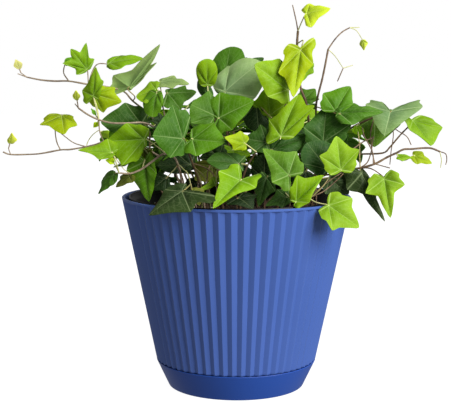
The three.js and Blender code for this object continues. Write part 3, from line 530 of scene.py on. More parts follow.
# The stems seen from the front. A point is (across, up, depth) in millimetres: across and up are read on the
# upright plane through the pot's axis, as seen from the eye, and depth moves the point away along its sight line.
# A run is a radius, then the points it passes, point 0 being the root. A leaf is its kind, tone, the point its
# petiole leaves from, base, tip, side lobe, side lobe, and what is special: via bends its petiole, ears stretch
# its two base lobes, and under shows its underside. A stem's node is named leafy_stem_ and its name here.
stemTable = {
    "left_upper": {
        "root": (-30, 4),
        "points": [
            (-44, 168, 6), (-60.3, 193.7, 2), (-74.4, 205.7, 0), (-81, 212.6, -2), (-94, 216, -4),
            (-106, 217.5, -4), (-120, 219.8, -2), (-130, 219.8, 0), (-140, 220.6, 2), (-150, 222.6, 4),
            (-154, 225.6, 5), (-156.4, 225, 3),
        ],
        "runs": [(1.1, 0, 1, 2, 3, 4, 5, 6, 7, 8, 9, 10), (0.6, 10, 11), (0.6, 10, 12)],
        "leaves": [
            ("bud", "straw", 11, (-155, 228.3, 5), (-157.8, 235, 6), (-153.2, 232.6, 7), (-159.2, 230.6, 4)),
            ("star", "bright", 6, (-106.5, 227.5, -6), (-118.4, 242.6, -14), (-107, 247, -10),
             (-124.5, 232.5, -14)),
            ("bud", "green", 7, (-122.6, 231.5, -2), (-116, 237, 3), (-121.5, 236, 0), (-117, 232, 2),
             {"via": [(-123.6, 225.6, -2)]}),
            ("arrow", "bright", 6, (-92, 232, 0), (-67, 236.3, 4), (-82, 238.5, 10), (-82.5, 228, -8),
             {"via": [(-103, 227, 2), (-99, 232, 1)], "ears": (0.5, 0.5)}),
            ("trident", "pale", 3, (-78, 214, -8), (-54.5, 246, -16), (-89, 224, -2), (-57, 233, -14),
             {"via": [(-73, 209, -4)], "under": True, "ears": (1, 0.6)}),
        ],
    },
    "left_middle": {
        "root": (-36, -14),
        "points": [
            (-46, 160, -10), (-56, 183, -14), (-66, 190, -22), (-79.7, 189.8, -30), (-89.7, 190, -30),
            (-98.8, 192.3, -28), (-106.4, 195.8, -26), (-113.4, 200.6, -24), (-114.2, 205.8, -24),
            (-115.8, 203.7, -22), (-98.3, 183.7, -28), (-95.5, 176.3, -28), (-101.3, 174.6, -27),
            (-108.2, 172.9, -26), (-119.8, 170.9, -24), (-126.7, 170.6, -22), (-140.5, 168, -20),
            (-150, 167.3, -18), (-162.6, 167.2, -16), (-168, 169, -15), (-164, 171.5, -15), (-106.5, 177.3, -24),
            (-103.4, 181.5, -26), (-98.8, 185, -28), (-84, 177, -22), (-66, 172, -16), (-117, 175.7, -22),
            (-124, 180.8, -18), (-129.5, 185.5, -15),
        ],
        "runs": [
            (1.1, 0, 1, 2, 3, 4, 5, 6, 7, 8), (0.7, 8, 9), (0.6, 8, 10), (0.7, 6, 11, 12),
            (1, 1, 26, 25, 12, 13, 14, 15, 16, 17, 18, 19, 20), (0.6, 19, 21), (0.5, 14, 22, 23, 24),
            (0.6, 14, 27, 28, 29),
        ],
        "leaves": [
            ("common", "bright", 6, (-102.5, 208.5, -30), (-100.5, 230, -34), (-110.5, 213, -28), (-95, 219.5, -32),
             {"via": [(-100.8, 201, -29)]}),
            ("common", "lime", 6, (-103, 211, -22), (-82.5, 205, -22), (-87, 215.5, -20), (-95.5, 197.5, -18),
             {"via": [(-100, 201, -26)]}),
            ("bud", "green", 6, (-101, 195.5, -26), (-104.3, 200.3, -26), (-101.8, 198.8, -24),
             (-103.8, 197.3, -27)),
            ("bud", "lime", 6, (-99.8, 190.3, -26), (-102.8, 186.8, -24), (-98.8, 188, -24), (-102.6, 190, -27)),
            ("bud", "bud", 9, (-114.3, 206.3, -24), (-114.7, 213.3, -24), (-117.3, 209.8, -22), (-112, 209.5, -26)),
            ("common", "lime", 16, (-125.5, 195.5, -14), (-123.8, 182, -32), (-141, 188, -22), (-114.3, 188.5, -22),
             {"via": [(-129.4, 177, -19), (-130, 187, -14)]}),
            ("bud", "bud", 21, (-162.9, 175.2, -15), (-161.3, 182.8, -15), (-164.4, 178, -13),
             (-157.8, 177.8, -17)),
            ("wide", "dark", 2, (-67, 189, -6), (-97.5, 190.5, -12), (-80, 204.5, -4), (-84, 180, -8)),
            ("bud", "fresh", 11, (-96.5, 184, -25), (-92, 179, -22), (-97, 180.5, -21), (-91.5, 184, -26)),
        ],
    },
    "left_lower": {
        "root": (-36, -34),
        "points": [
            (-42, 160, -38), (-50.8, 168, -46), (-60, 163, -50), (-67.9, 157.2, -50), (-76.3, 153.7, -50),
            (-84.5, 154, -50), (-81, 156.5, -50), (-88, 166, -51),
        ],
        "runs": [(1.2, 0, 1, 2, 3, 4, 5, 6), (0.5, 5, 7, 8)],
        "leaves": [
            ("common", "bright", 6, (-89, 168, -52), (-114, 170.3, -58), (-93, 178, -46), (-99, 164, -58),
             {"ears": (0.9, 0.3)}),
            ("bud", "lime", 6, (-88.3, 161, -50), (-94.3, 163.2, -48), (-89.5, 164.8, -46), (-91.5, 160.6, -52)),
            # This leaf's bright tone is partly painted light, lifting it where it lies in shade.
            ("wide", "bright", 2, (-65, 178.5, -48), (-93, 177, -44), (-79, 190, -50), (-82, 159.5, -52),
             {"via": [(-57, 173, -46)], "ears": (1, 0.45)}),
            ("common", "olive", 3, (-67, 172, -42), (-77, 158, -36), (-62, 160, -38), (-80, 166, -40)),
            ("wide", "green", 4, (-66, 164, -46), (-63, 133.5, -44), (-79, 156, -44), (-57.5, 154, -50)),
            ("arrow", "olive", 5, (-77, 152.3, -47), (-86.8, 143.5, -42), (-83.5, 151.5, -40), (-75, 147, -48)),
            ("arrow", "mid", 6, (-87.5, 153.8, -46), (-99.4, 138.7, -40), (-96.5, 150.5, -36), (-88.8, 145, -46)),
            ("common", "deep", 1, (-50, 151, -44), (-61, 142, -44), (-61, 152.5, -40), (-51, 139.5, -48),
             {"ears": (0.4, 0.4)}),
        ],
    },
    "left_crown": {
        "root": (-24, 8),
        "points": [(-40, 170, 0), (-50, 190, -6), (-53, 202, -8), (-54, 212, -4)],
        "runs": [(1.1, 0, 1, 2, 3), (0.8, 3, 4)],
        "leaves": [
            ("wide", "fresh", 4, (-57, 214, -6), (-72, 208.5, -8), (-62, 219, 0), (-65, 203.5, -14)),
            ("broad", "green", 3, (-57, 212, -12), (-60.5, 194, -18), (-67, 203, -12), (-53.5, 201, -18)),
            ("arrow", "pale", 4, (-55, 219, 0), (-34, 218.5, 6), (-45, 223, 8), (-47, 214.5, -4)),
            ("common", "mid", 3, (-50.5, 211, -8), (-29, 212, -4), (-37, 216, 2), (-40, 199.5, -12),
             {"ears": (1.3, 1.3)}),
            ("common", "deep", 2, (-49.5, 188, -28), (-61, 192, -30), (-56, 197.5, -28), (-55, 185, -32),
             {"via": [(-46, 189, -18)]}),
            ("common", "deep", 1, (-29, 147, -3), (-44, 139.5, -4), (-35, 150, -2), (-38, 136, -6)),
        ],
    },
    "centre_left": {
        "root": (-20, -30),
        "points": [(-30, 156, -36), (-35, 170, -46)],
        "runs": [(1.2, 0, 1, 2)],
        "leaves": [
            ("wide", "moss", 2, (-37.5, 178.5, -60), (-60.5, 181, -66), (-46, 203, -58), (-48, 165, -66),
             {"ears": (1.2, 1)}),
            ("wide", "green", 2, (-33, 178.5, -60), (-8.5, 176, -64), (-16.5, 190, -60), (-29, 166, -66)),
            ("broad", "deep", 1, (-32, 160, -28), (-57, 159, -30), (-45, 169, -24), (-45, 153.8, -34)),
        ],
    },
    "centre": {
        "root": (-10, -10),
        "points": [(-14, 165, -18), (-15, 190, -34), (-20, 205, -24)],
        "runs": [(1.2, 0, 1, 2), (0.9, 2, 3)],
        "leaves": [
            ("wide", "green", 2, (-14, 193, -42), (12.5, 206, -46), (-12, 212, -36), (-3, 185, -48)),
            ("wide", "mid", 2, (-15, 195, -40), (-33, 203, -42), (-20, 213, -34), (-33, 190, -46)),
            ("broad", "bright", 3, (-21, 217, -22), (-21.5, 235.8, -28), (-29, 229, -25), (-14, 229, -25)),
            ("broad", "dark", 3, (-20, 208, -20), (-26, 222, -15), (-28, 215, -12), (-19, 217, -15)),
            ("common", "olive", 1, (-16, 160, -12), (-30, 149, -12), (-31, 161, -8), (-17, 145, -14)),
            ("common", "deep", 1, (-12, 165, -26), (-23, 175, -34), (-27, 165, -28), (-10, 176, -32)),
        ],
    },
    "top": {
        "root": (0, 12),
        "points": [(-4, 165, 8), (-9, 195, 2), (-9.5, 211, -4)],
        "runs": [(1.2, 0, 1, 2, 3)],
        "leaves": [
            ("broad", "mid", 3, (-9, 215, -2), (-5, 244.5, 2), (-17.5, 232, 6), (6.5, 235, -2)),
            ("broad", "silver", 3, (-9.5, 211.5, -12), (17, 234, -12), (-5, 232, -2), (14, 208, -20)),
            ("common", "dark", 3, (4, 224, 4), (19, 236.5, 8), (6, 237, 9), (18, 230, 2)),
            ("common", "deep", 1, (-2, 160, 4), (7, 146, 0), (-8, 151, 2), (13, 155, 4)),
        ],
    },
    "top_right": {
        "root": (20, -8),
        "points": [(24, 165, -16), (30, 188, -26), (36, 206, -24)],
        "runs": [(1.2, 0, 1, 2, 3)],
        "leaves": [
            ("wide", "bright", 3, (37, 213, -28.5), (12, 231.5, -36), (30.5, 236, -27.5), (22, 209, -36)),
            ("common", "bright", 2, (31, 179, -46), (44, 211, -36), (23.5, 192, -38), (56, 202, -44)),
            ("broad", "deep", 2, (14, 205, -10), (16, 183, -16), (4.5, 193, -8), (23, 190, -14)),
            ("wide", "dark", 1, (24, 170.5, -34), (50, 180, -24), (33, 182, -28), (41, 166.5, -34)),
            ("common", "dark", 1, (22.5, 176, -40), (5, 179, -36), (17, 189, -34), (11, 168, -44)),
            ("broad", "deep", 1, (20, 149, -22), (20, 168, -30), (10.5, 159, -26), (29.5, 159, -26)),
            ("wide", "bright", 2, (24, 195, -14), (22, 216, -16), (11.5, 204, -10), (35, 204, -20)),
        ],
    },
    "front": {
        "root": (2, -40),
        "points": [(4, 148, -46), (8, 160, -50), (14, 169.5, -54)],
        "runs": [(1.2, 0, 1, 2), (0.9, 2, 3)],
        "leaves": [
            ("common", "bright", 1, (3.5, 149.5, -66), (-16.8, 129, -86), (-13, 155.5, -70), (14, 144, -74)),
            ("broad", "dark", 2, (2.5, 160.5, -58), (-21.5, 163.5, -62), (-8, 169, -54), (-9, 155, -66),
             {"ears": (1.6, 1)}),
            ("common", "lime", 3, (6, 175.5, -60), (-9, 179.8, -68), (2, 184.5, -60), (-2, 170.8, -64)),
            ("arrow", "bright", 2, (-14.8, 145.5, -60), (-28.5, 140, -66), (-17.5, 150.5, -56), (-19, 143, -64),
             {"via": [(-6, 163, -49), (-13.5, 158, -53)]}),
        ],
    },
    "front_low": {
        "root": (14, -28),
        "points": [(16, 147, -38)],
        "runs": [(1, 0, 1)],
        "leaves": [
            ("common", "deep", 1, (1, 136.5, -58), (12, 128.3, -62), (-7, 131, -62), (15, 138, -56)),
            ("common", "dark", 1, (22, 152, -48), (16, 130, -56), (11, 144, -50), (28, 141, -54)),
        ],
    },
    "front_right": {
        "root": (28, -34),
        "points": [(32, 143, -46), (38, 150, -58)],
        "runs": [(1.1, 0, 1, 2)],
        "leaves": [
            ("common", "soft", 2, (38.5, 151.5, -70), (18.6, 171.8, -62), (43, 170, -64), (25.5, 147, -74)),
            ("common", "dark", 1, (37, 137, -52), (21, 130.5, -58), (29, 142, -50), (33, 129, -58)),
            ("common", "bright", 1, (42, 132.6, -66), (63, 152.5, -62), (43.5, 152.5, -72), (52, 132.8, -70),
             {"via": [(38, 137, -56)], "ears": (0.5, 0.3)}),
        ],
    },
    "tall": {
        "root": (44, 6),
        "points": [
            (51, 160, 0), (52, 185, -6), (49.5, 204.3, -10), (45.5, 215.5, -12), (43.2, 232, -12),
            (42.7, 246.6, -12), (43.2, 255.5, -12), (41.8, 263, -12), (39.2, 273.8, -10),
        ],
        "runs": [(1.5, 0, 1, 2, 3, 4, 5, 6, 7), (0.7, 7, 8, 9)],
        "leaves": [
            ("arrow", "young", 7, (48.5, 267.5, -14), (65.9, 271.7, -18), (51.5, 274.5, -10), (52.8, 258, -22),
             {"via": [(45.6, 261.5, -13)], "ears": (1, 0.3)}),
            ("common", "lime", 6, (45.5, 243.5, -28), (40.5, 208.5, -40), (29.5, 226, -34.5), (54.3, 231.5, -34),
             {"via": [(47, 249, -20)], "ears": (1.3, 1.4)}),
            ("common", "bright", 5, (51, 232, -6), (45.5, 219.5, -10), (54, 226, -4), (47, 229, -12)),
            ("common", "mid", 3, (47, 206, 0), (56, 214.5, 2), (46, 215, 4), (59, 207, -2)),
            ("common", "deep", 1, (50, 156, -8), (40, 144, -12), (40, 157, -10), (53, 144, -10)),
        ],
    },
    "arching": {
        "root": (54, -6),
        "points": [
            (58, 160, -12), (57, 185, -18), (56.7, 202, -22), (58.2, 211, -24), (60.7, 221, -24),
            (62.8, 231.5, -24), (64.8, 242.8, -22), (69.6, 249.8, -20), (74.7, 255, -18), (80, 258, -16),
            (86.9, 258.2, -14), (84.9, 255.8, -14), (88.8, 249.9, -12), (69.9, 237.8, -20), (75.7, 229.4, -18),
            (82.5, 231.5, -16), (71.7, 220, -18),
        ],
        "runs": [
            (1.2, 0, 1, 2, 3, 4, 5, 6, 7), (0.8, 7, 8, 9, 10), (0.5, 10, 11), (0.5, 10, 12, 13), (0.5, 7, 14, 15),
            (0.5, 15, 16), (0.6, 15, 17),
        ],
        "leaves": [
            ("bud", "bud", 13, (89.2, 249.3, -12), (90.4, 242, -13), (87.4, 246, -10), (93, 247, -14)),
            ("wide", "green", 3, (70, 198, -34), (80.8, 216.3, -28), (61.5, 211.5, -30), (83, 204, -34)),
            ("arrow", "mid", 3, (72, 197, -36), (105, 199, -38), (84, 204, -32), (83, 188.5, -42),
             {"ears": (1, 0.5)}),
            ("wide", "dark", 2, (62, 175, -32), (64, 202, -26), (48, 187, -32), (82.5, 190, -34)),
            ("common", "deep", 1, (58, 168, -22), (68, 184, -28), (53, 181, -24), (72, 175, -28)),
        ],
    },
    "right_upper": {
        "root": (30, 8),
        "points": [
            (44, 165, 6), (66, 178, 0), (88, 190, -8), (104, 197, -12), (109, 191, -22), (114.3, 185.7, -24),
            (122, 180.8, -24), (125.4, 174.6, -24), (112.4, 183.6, -32), (111, 170, -32), (110.3, 160.5, -32),
        ],
        "runs": [(1.2, 0, 1, 2, 3, 4), (0.6, 4, 5, 6, 7, 8), (0.6, 5, 9, 10, 11)],
        "leaves": [
            ("wide", "sage", 4, (110, 199, -24), (106, 181, -40), (92, 203, -22), (133, 202, -22),
             {"ears": (0.7, 0.6)}),
            ("bud", "bright", 3, (86, 188.5, -16), (88.5, 180.5, -18), (83, 184, -16), (92, 184.5, -18)),
            ("common", "deep", 1, (41, 158, 4), (31, 146, 0), (30, 159, 2), (44, 147, 4)),
            ("common", "dark", 2, (73, 172, -8), (80, 182, -12), (70, 183, -8), (80, 172, -14)),
        ],
    },
    "right_outer": {
        "root": (50, 14),
        "points": [
            (66, 158, 8), (78, 166.5, 2), (88.5, 168, -4), (104.8, 168.8, -12), (110, 173, -14), (117.5, 182, -15),
            (123.8, 188.5, -14),
        ],
        "runs": [(1, 0, 1, 2, 3, 4, 5, 6, 7)],
        "leaves": [
            ("wide", "bright", 7, (125, 193, -14), (139.5, 174, -18), (147, 187, -10), (124, 186, -22)),
        ],
    },
    "right_runner": {
        "root": (50, -16),
        "points": [
            (66, 150, -24), (78, 156, -30), (89, 158, -34), (99.5, 161, -36), (108, 165.7, -36), (115, 169, -36),
            (120, 171.5, -36), (126, 171.8, -35), (134, 172.5, -34), (140, 172.3, -33), (146, 170, -32),
            (150.3, 168.3, -31), (147.4, 164, -32), (146.8, 158.2, -32), (151.2, 164, -30), (150.5, 160.5, -30),
            (110.5, 158, -37),
        ],
        "runs": [
            (1.2, 0, 1, 2, 3, 4, 5, 6, 7, 8, 9, 10, 11), (0.6, 11, 12, 15, 16), (0.5, 11, 13, 14), (0.6, 4, 17),
        ],
        "leaves": [
            ("arrow", "bright", 6, (116, 166.3, -36), (127, 165.5, -34), (119.5, 163, -38), (120.5, 168, -34)),
            ("arrow", "lime", 6, (127, 167, -32), (140.5, 161.3, -31), (133.5, 169.5, -28), (130, 160.8, -34),
             {"via": [(120, 163.5, -30)]}),
            ("trident", "fresh", 3, (106, 151.5, -40), (111.5, 121.6, -48), (93, 139.5, -46), (121.5, 146, -44),
             {"via": [(97, 157.5, -37)], "ears": (0.8, 0.8)}),
            ("trident", "dusk", 3, (89, 156, -34), (107, 119, -36), (79.5, 142, -36), (103, 139, -30),
             {"ears": (1, 0.7)}),
            # This leaf's tone is partly painted light, lifting it where another leaf's shadow falls on it.
            ("wide", "soft", 4, (99, 196, -2), (99, 173, -14), (86, 186, -1), (118, 190, -4),
             {"via": [(97.4, 170, -30), (96, 183, -12)]}),
        ],
    },
    "right_star": {
        "root": (46, -34),
        "points": [(60, 150, -46), (68, 153.5, -53)],
        "runs": [(1.1, 0, 1, 2)],
        "leaves": [
            ("common", "fresh", 2, (75, 155.5, -58), (71.5, 181, -54), (59.6, 166.7, -60), (87.8, 171, -56)),
            ("broad", "forest", 1, (66, 156, -44), (50, 176, -42), (48, 161, -50), (70, 174, -38)),
            ("common", "dusk", 1, (66, 151, -32), (81, 139, -28), (64, 139, -34), (82, 152, -30)),
        ],
    },
    "right_rim": {
        "root": (42, -44),
        "points": [(50, 138, -54)],
        "runs": [(1, 0, 1)],
        "leaves": [
            ("common", "fresh", 1, (65.5, 131.3, -62), (88.7, 114.4, -66), (83.7, 136.2, -58), (69.3, 112.2, -72),
             {"via": [(57, 133.2, -58)]}),
        ],
    },
    "left_rim": {
        "root": (-30, -46),
        "points": [(-33, 146, -58)],
        "runs": [(1.1, 0, 1)],
        "leaves": [
            ("wide", "dusk", 1, (-38, 141.5, -72), (-63.3, 123.3, -80), (-33.5, 126.4, -88), (-51, 141, -66),
             {"ears": (1.9, 0.9)}),
            ("common", "olive", 1, (-32, 140, -68), (-19, 134.5, -71), (-24, 142.5, -66), (-27, 130.5, -74)),
        ],
    },
}


# The true place, in millimetres, of a point read from the eye.
def seen(point):
    across, up, depth = point
    onPlane = Vector((across, 0, up))
    return eye + (onPlane - eye) * ((depth - eye.y) / -eye.y)


# Whether a face that looks along normal is turned to the viewer or up.
def facesEye(normal, place):
    return normal.dot((eye - place).normalized() + 0.5 * upward) > 0


# A smooth stretch through four points, between the middle two.
def between(before, start, end, after, share):
    square, cube = share * share, share ** 3
    return 0.5 * (2 * start + (end - before) * share + (2 * before - 5 * start + 4 * end - after) * square
                  + (3 * start - before - 3 * end + after) * cube)


def smoothPath(points, stepsEach):
    ends = [points[0] * 2 - points[1], *points, points[-1] * 2 - points[-2]]
    path = []
    for i in range(len(points) - 1):
        for step in range(stepsEach):
            path.append(between(*ends[i:i + 4], step / stepsEach))
    path.append(points[-1])
    return path


# The whole edge of a kind of blade, sampled: the right half up to the tip, then back down the left. Lobes stay
# pointed and the bays between them round.
def bladeEdge(kind):
    half = [Vector(point) for point in bladeKinds[kind]["half"]]
    row = [Vector((0, 0)), *half, Vector((0, 1))]
    ends = [Vector((-half[0].x, half[0].y)), *row, Vector((-half[-1].x, half[-1].y))]
    steps = leafLook["perStretch"]
    samples = []
    for i in range(len(row) - 1):
        for step in range(steps):
            straight = row[i].lerp(row[i + 1], step / steps)
            curved = between(*ends[i:i + 4], step / steps)
            samples.append(straight.lerp(curved, leafLook["roundness"]))
    samples.append(row[-1])
    left = [Vector((-point.x, point.y)) for point in samples[1:-1]]
    return samples + left[::-1]


# One flat blank per kind: rings of points closing on the place where the veins meet, a spoke for each sample.
def modelBlank(kind):
    edge = bladeEdge(kind)
    spokes = len(edge)
    deselectAll()
    bpy.ops.mesh.primitive_circle_add(vertices=spokes, radius=1, fill_type="NOTHING")
    blank = bpy.context.object
    blank.name = "blank_" + kind
    bpy.ops.object.mode_set(mode="EDIT")
    bpy.ops.mesh.select_all(action="SELECT")
    for ring in range(leafLook["rings"], 0, -1):
        bpy.ops.mesh.extrude_edges_move(TRANSFORM_OT_translate={"value": (0, 0, 0)})
        if ring > 1:
            scale = (ring - 1) / ring
            bpy.ops.transform.resize(value=(scale, scale, scale), center_override=(0, 0, 0))
    bpy.ops.mesh.merge(type="CENTER")
    bpy.ops.mesh.select_all(action="SELECT")
    bpy.ops.mesh.normals_make_consistent(inside=False)
    bpy.ops.object.mode_set(mode="OBJECT")
    heart = Vector((0, leafLook["heart"]))
    for vertex in blank.data.vertices:
        reach = math.hypot(vertex.co.x, vertex.co.y)
        turn = math.atan2(vertex.co.x, vertex.co.y) / (2 * math.pi) * spokes
        point = heart.lerp(edge[round(turn) % spokes], min(1, reach) ** leafLook["ringSpread"])
        vertex.co = (point.x, point.y, reach)
    if blank.data.polygons[0].normal.z < 0:
        blank.data.flip_normals()
    return blank


# A place (a, b) on any blade is read on one that all kinds share: a across, b along, the side lobes' tips at
# sharedLobe. The veins are drawn there, and the blade's own map holds it: [start, scale] of a and of b.
sharedLobe = (0.5, 0.36)
veinEnds = [(0, 1), sharedLobe, (0.27, -0.13)]
veinless = (0.8, -0.26)
bladeMap = {"name": "bladeMap", "a": (0.5, 0.6), "b": (0.2, 0.7)}


# How far a place on a blade is from its nearest main vein, both halves alike.
def fromVein(a, b):
    offset = Vector((abs(a), b - leafLook["heart"]))
    nearest = offset.length
    for endA, endB in veinEnds:
        run = Vector((endA, endB - leafLook["heart"])).normalized()
        if offset.dot(run) > 0:
            nearest = min(nearest, abs(offset.x * run.y - offset.y * run.x))
    return nearest


def makeLeaf(blanks, kind, tone, base, tip, sides, special, draw):
    look = leafLook
    lobeAcross, lobeAlong = bladeKinds[kind]["half"][bladeKinds[kind]["lobe"]]
    along = tip - base
    across = [(side - base - along * lobeAlong) / lobeAcross for side in sides]
    normal = (across[1] - across[0]).cross(along).normalized()
    # The upper face looks at the viewer or up, unless the leaf shows its underside.
    turned = facesEye(normal, base) == special.get("under", False)
    faceUp = -normal if turned else normal
    leaf = copyPiece(blanks[kind])
    mesh = leaf.data
    ears = special.get("ears", (1, 1))
    places = []
    phase = draw.uniform(0, 6)
    waves = draw.choice(look["waveCount"])
    droop = look["droop"] * draw.uniform(*look["droopShare"])
    for vertex in mesh.vertices:
        u, v, reach = vertex.co
        side = 1 if (u > 0) != turned else 0
        a = u / lobeAcross * sharedLobe[0]
        b = v + (sharedLobe[1] - lobeAlong) * abs(u) / lobeAcross
        places.append((a, b, reach))
        if v < look["earTop"] and ears[side] != 1:
            grow = 1 + (ears[side] - 1) * min(1, (look["earTop"] - v) / look["earBlend"]) * min(1, reach)
            u, v = u * grow, v * grow
        swell = look["quilt"] * min(1, fromVein(a, b) / look["quiltWidth"]) * (1 - reach ** 4)
        bend = droop * (0.25 - (v - look["droopMiddle"]) ** 2) - 0.1 * droop * abs(u)
        wave = look["wave"] * reach ** 3 * math.sin(waves * math.atan2(u, v - 0.3) + phase)
        point = base + along * v + across[side] * abs(u)
        vertex.co = (point + faceUp * along.length * (swell + bend + wave)) * mm
    layer = mesh.uv_layers.new(name=bladeMap["name"])
    for loop in mesh.loops:
        spot = veinless if kind == "bud" else places[loop.vertex_index]
        layer.data[loop.index].uv = [bladeMap[key][0] + bladeMap[key][1] * spot[i] for i, key in enumerate("ab")]
    colours = mesh.color_attributes.new("leafTone", "FLOAT_COLOR", "POINT")
    # Buds and young leaves are painted brighter than the rest: painted light shining through them.
    young = kind == "bud" or tone == "young"
    tint = Vector(shade(tones[tone])[:3]) * look["litThroughDepth" if young else "depth"]
    light = 1 + draw.uniform(-look["lightStray"], look["lightStray"])
    warm = draw.uniform(-look["warmStray"], look["warmStray"])
    for index, (a, b, reach) in enumerate(places):
        drift = light * (look["inner"] + look["edgeLight"] * reach * reach + look["tipLight"] * (b - 0.4))
        glow = 1 + warm + look["edgeWarmth"] * (reach - 0.6)
        colours.data[index].color = (tint.x * drift * glow, tint.y * drift, tint.z * drift / glow, 1)
    return leaf


# A stem or petiole is one line of a curve, thicker at its foot. All of a node's lines become one mesh.
def drawLines(name, lines, materials):
    data = bpy.data.curves.new(name, "CURVE")
    data.dimensions = "3D"
    data.bevel_depth = 1 * mm
    data.bevel_resolution = 2
    data.use_fill_caps = True
    for material in materials:
        data.materials.append(material)
    for points, startRadius, endRadius, slot in lines:
        path = smoothPath(points, 4)
        spline = data.splines.new("POLY")
        spline.points.add(len(path) - 1)
        spline.material_index = slot
        spline.use_smooth = True
        for index, point in enumerate(path):
            share = index / (len(path) - 1)
            knot = 1 + stemLook["knots"] * math.sin(index * 2.1 + point.x)
            spline.points[index].co = (*(point * mm), 1)
            spline.points[index].radius = (startRadius + (endRadius - startRadius) * share) * knot
    activate(addObject(name, data))
    bpy.ops.object.convert(target="MESH")
    return bpy.context.object


def makeStem(name, blanks, places, runs, leaves, materials, draw):
    look = stemLook
    lines = []
    for radius, *stops in runs:
        thick = radius * look["share"]
        slot = 1 if radius < look["thin"] else 0
        lines.append(([places[i] for i in stops], thick, thick * look["taper"], slot))
    blades = []
    for number, (kind, tone, start, base, tip, sides, special) in enumerate(leaves):
        slot = 1 if tone in leafLook["paleOnes"] else 2
        if number in leafLook["woody"].get(name, ()):
            slot = 0
        path = [places[start], *special.get("via", []), base, base.lerp(tip, 0.07)]
        lines.append((path, *look["petiole"], slot))
        blades.append(makeLeaf(blanks, kind, tone, base, tip, sides, special, draw))
    foliage = joinPieces(blades, name + "_blades")
    foliage.data.materials.append(materials["leafFace"])
    foliage.data.materials.append(materials["leafBack"])
    shell = foliage.modifiers.new("shell", "SOLIDIFY")
    shell.thickness = leafLook["thickness"] * mm
    shell.offset = 0
    shell.material_offset = 1
    shell.material_offset_rim = 1
    bpy.ops.object.modifier_apply(modifier=shell.name)
    bark = materials["leftBark" if name.startswith("left") else "bark"]
    wood = drawLines(name + "_stems", lines, [bark, materials["palePetiole"], materials["petiole"]])
    piece = joinPieces([foliage, wood], "ivy_" + name)
    smooth(piece, look["smoothAngle"])
    return piece


def rootPlaces(root):
    rules = plantRules
    bottom = Vector((root[0], root[1], rules["soilHeight"] - rules["rootDepth"]))
    return bottom, bottom + (rules["rootDepth"] + rules["rootStraight"]) * upward


def frontStem(name, table, blanks, materials, draw):
    rootEnd, collar = rootPlaces(table["root"])
    places = [rootEnd, *[seen(point) for point in table["points"]], collar]
    runs = []
    for radius, first, *rest in table["runs"]:
        runs.append((radius, 0, len(places) - 1, *rest) if first == 0 else (radius, first, *rest))
    leaves = []
    for kind, tone, start, base, tip, left, right, *extra in table["leaves"]:
        special = dict(extra[0]) if extra else {}
        special["via"] = [seen(point) for point in special.get("via", [])]
        leaves.append((kind, tone, start, seen(base), seen(tip), [seen(left), seen(right)], special))
    return makeStem(name, blanks, places, runs, leaves, materials, draw)


# The stems at the back follow one rule and one seeded draw.
class Chance:
    def __init__(self, seed):
        self.state = seed

    def stray(self, reach):
        self.state = (self.state * 16807) % 2147483647
        return (2 * self.state / 2147483647 - 1) * reach


# A leaf that a rule places: its base, the way it points and the way its upper face looks.
def ruledLeaf(tone, start, base, along, facing, length):
    across = along.cross(facing).normalized()
    normal = across.cross(along)
    sides = [base + (along * 0.36 + across * turn * 0.52 + normal * 0.12) * length for turn in (-1, 1)]
    special = {"under": not facesEye(normal, base)}
    return "common", tone, start, base, base + along * length, sides, special


def backStem(number, chance, blanks, materials, draw):
    rules = plantRules
    shake = rules["backShake"]
    angle = math.radians(rules["backSectorStart"] + rules["backSector"] * number)
    outward = Vector((math.cos(angle), math.sin(angle), 0))
    sideways = Vector((-math.sin(angle), math.cos(angle), 0))

    def at(distance, height, side):
        return outward * distance + sideways * side + upward * height

    rootEnd, collar = rootPlaces(rules["backRoots"][number % 2] * outward)
    rise = chance.stray(3) + (rules["backStagger"] if number % 2 else -rules["backStagger"])
    places = [rootEnd]
    for distance, height in rules["backPath"]:
        outside = distance + chance.stray(shake)
        places.append(at(outside, height + rise, chance.stray(shake)))
    places.append(collar)
    leaves = []
    for index, (distance, height, side, out, over, up, size, start) in enumerate(rules["backPlaces"]):
        outside = distance + chance.stray(shake)
        above = height + rise + chance.stray(shake)
        base = at(outside, above, side * 7 + chance.stray(shake / 2))
        along = outward * out + sideways * over * (side or 1)
        along = (along + upward * (up + chance.stray(0.12))).normalized()
        facing = upward * 0.8 + outward * (0.6 + chance.stray(0.2))
        tone = rules["backTones"][(index + number) % len(rules["backTones"])]
        leaves.append(ruledLeaf(tone, start, base, along, facing, size * (1 + chance.stray(0.12))))
    runs = [(rules["backRadius"], 0, 5, 1, 2, 3, 4)]
    return makeStem(f"back_{number + 1}", blanks, places, runs, leaves, materials, draw)


# Short shoots that fill the middle of the crown, each with leaves turned all ways up its upper part.
fillRules = {
    # root on the soil, then where the shoot ends
    "shoots": (
        ((-44, 12), (-52, 22, 190)), ((-27, 24), (-32, 36, 192)), ((-7, 20), (-6, 12, 196)),
        ((16, 27), (20, 38, 196)), ((40, 20), (46, 24, 192)), ((58, 4), (62, 6, 184)),
        ((-50, -10), (-62, -2, 186)), ((-38, 42), (-56, 58, 174)), ((-12, 50), (-18, 76, 182)),
        ((14, 50), (24, 74, 176)), ((40, 42), (60, 56, 180)),
    ),
    "radius": 1.1,
    "sway": 5,
    "leaves": 8,
    "turn": 2.4,  # radians round the shoot from one leaf to the next
    "lowest": 0.42,  # share of the shoot's height below which it is bare
    "reach": (6, 13),  # from the shoot to a leaf's base
    "size": (16, 25),
    "tones": ("mid", "green", "dark", "bright", "mid", "dark", "green"),
    "seed": 19,
}


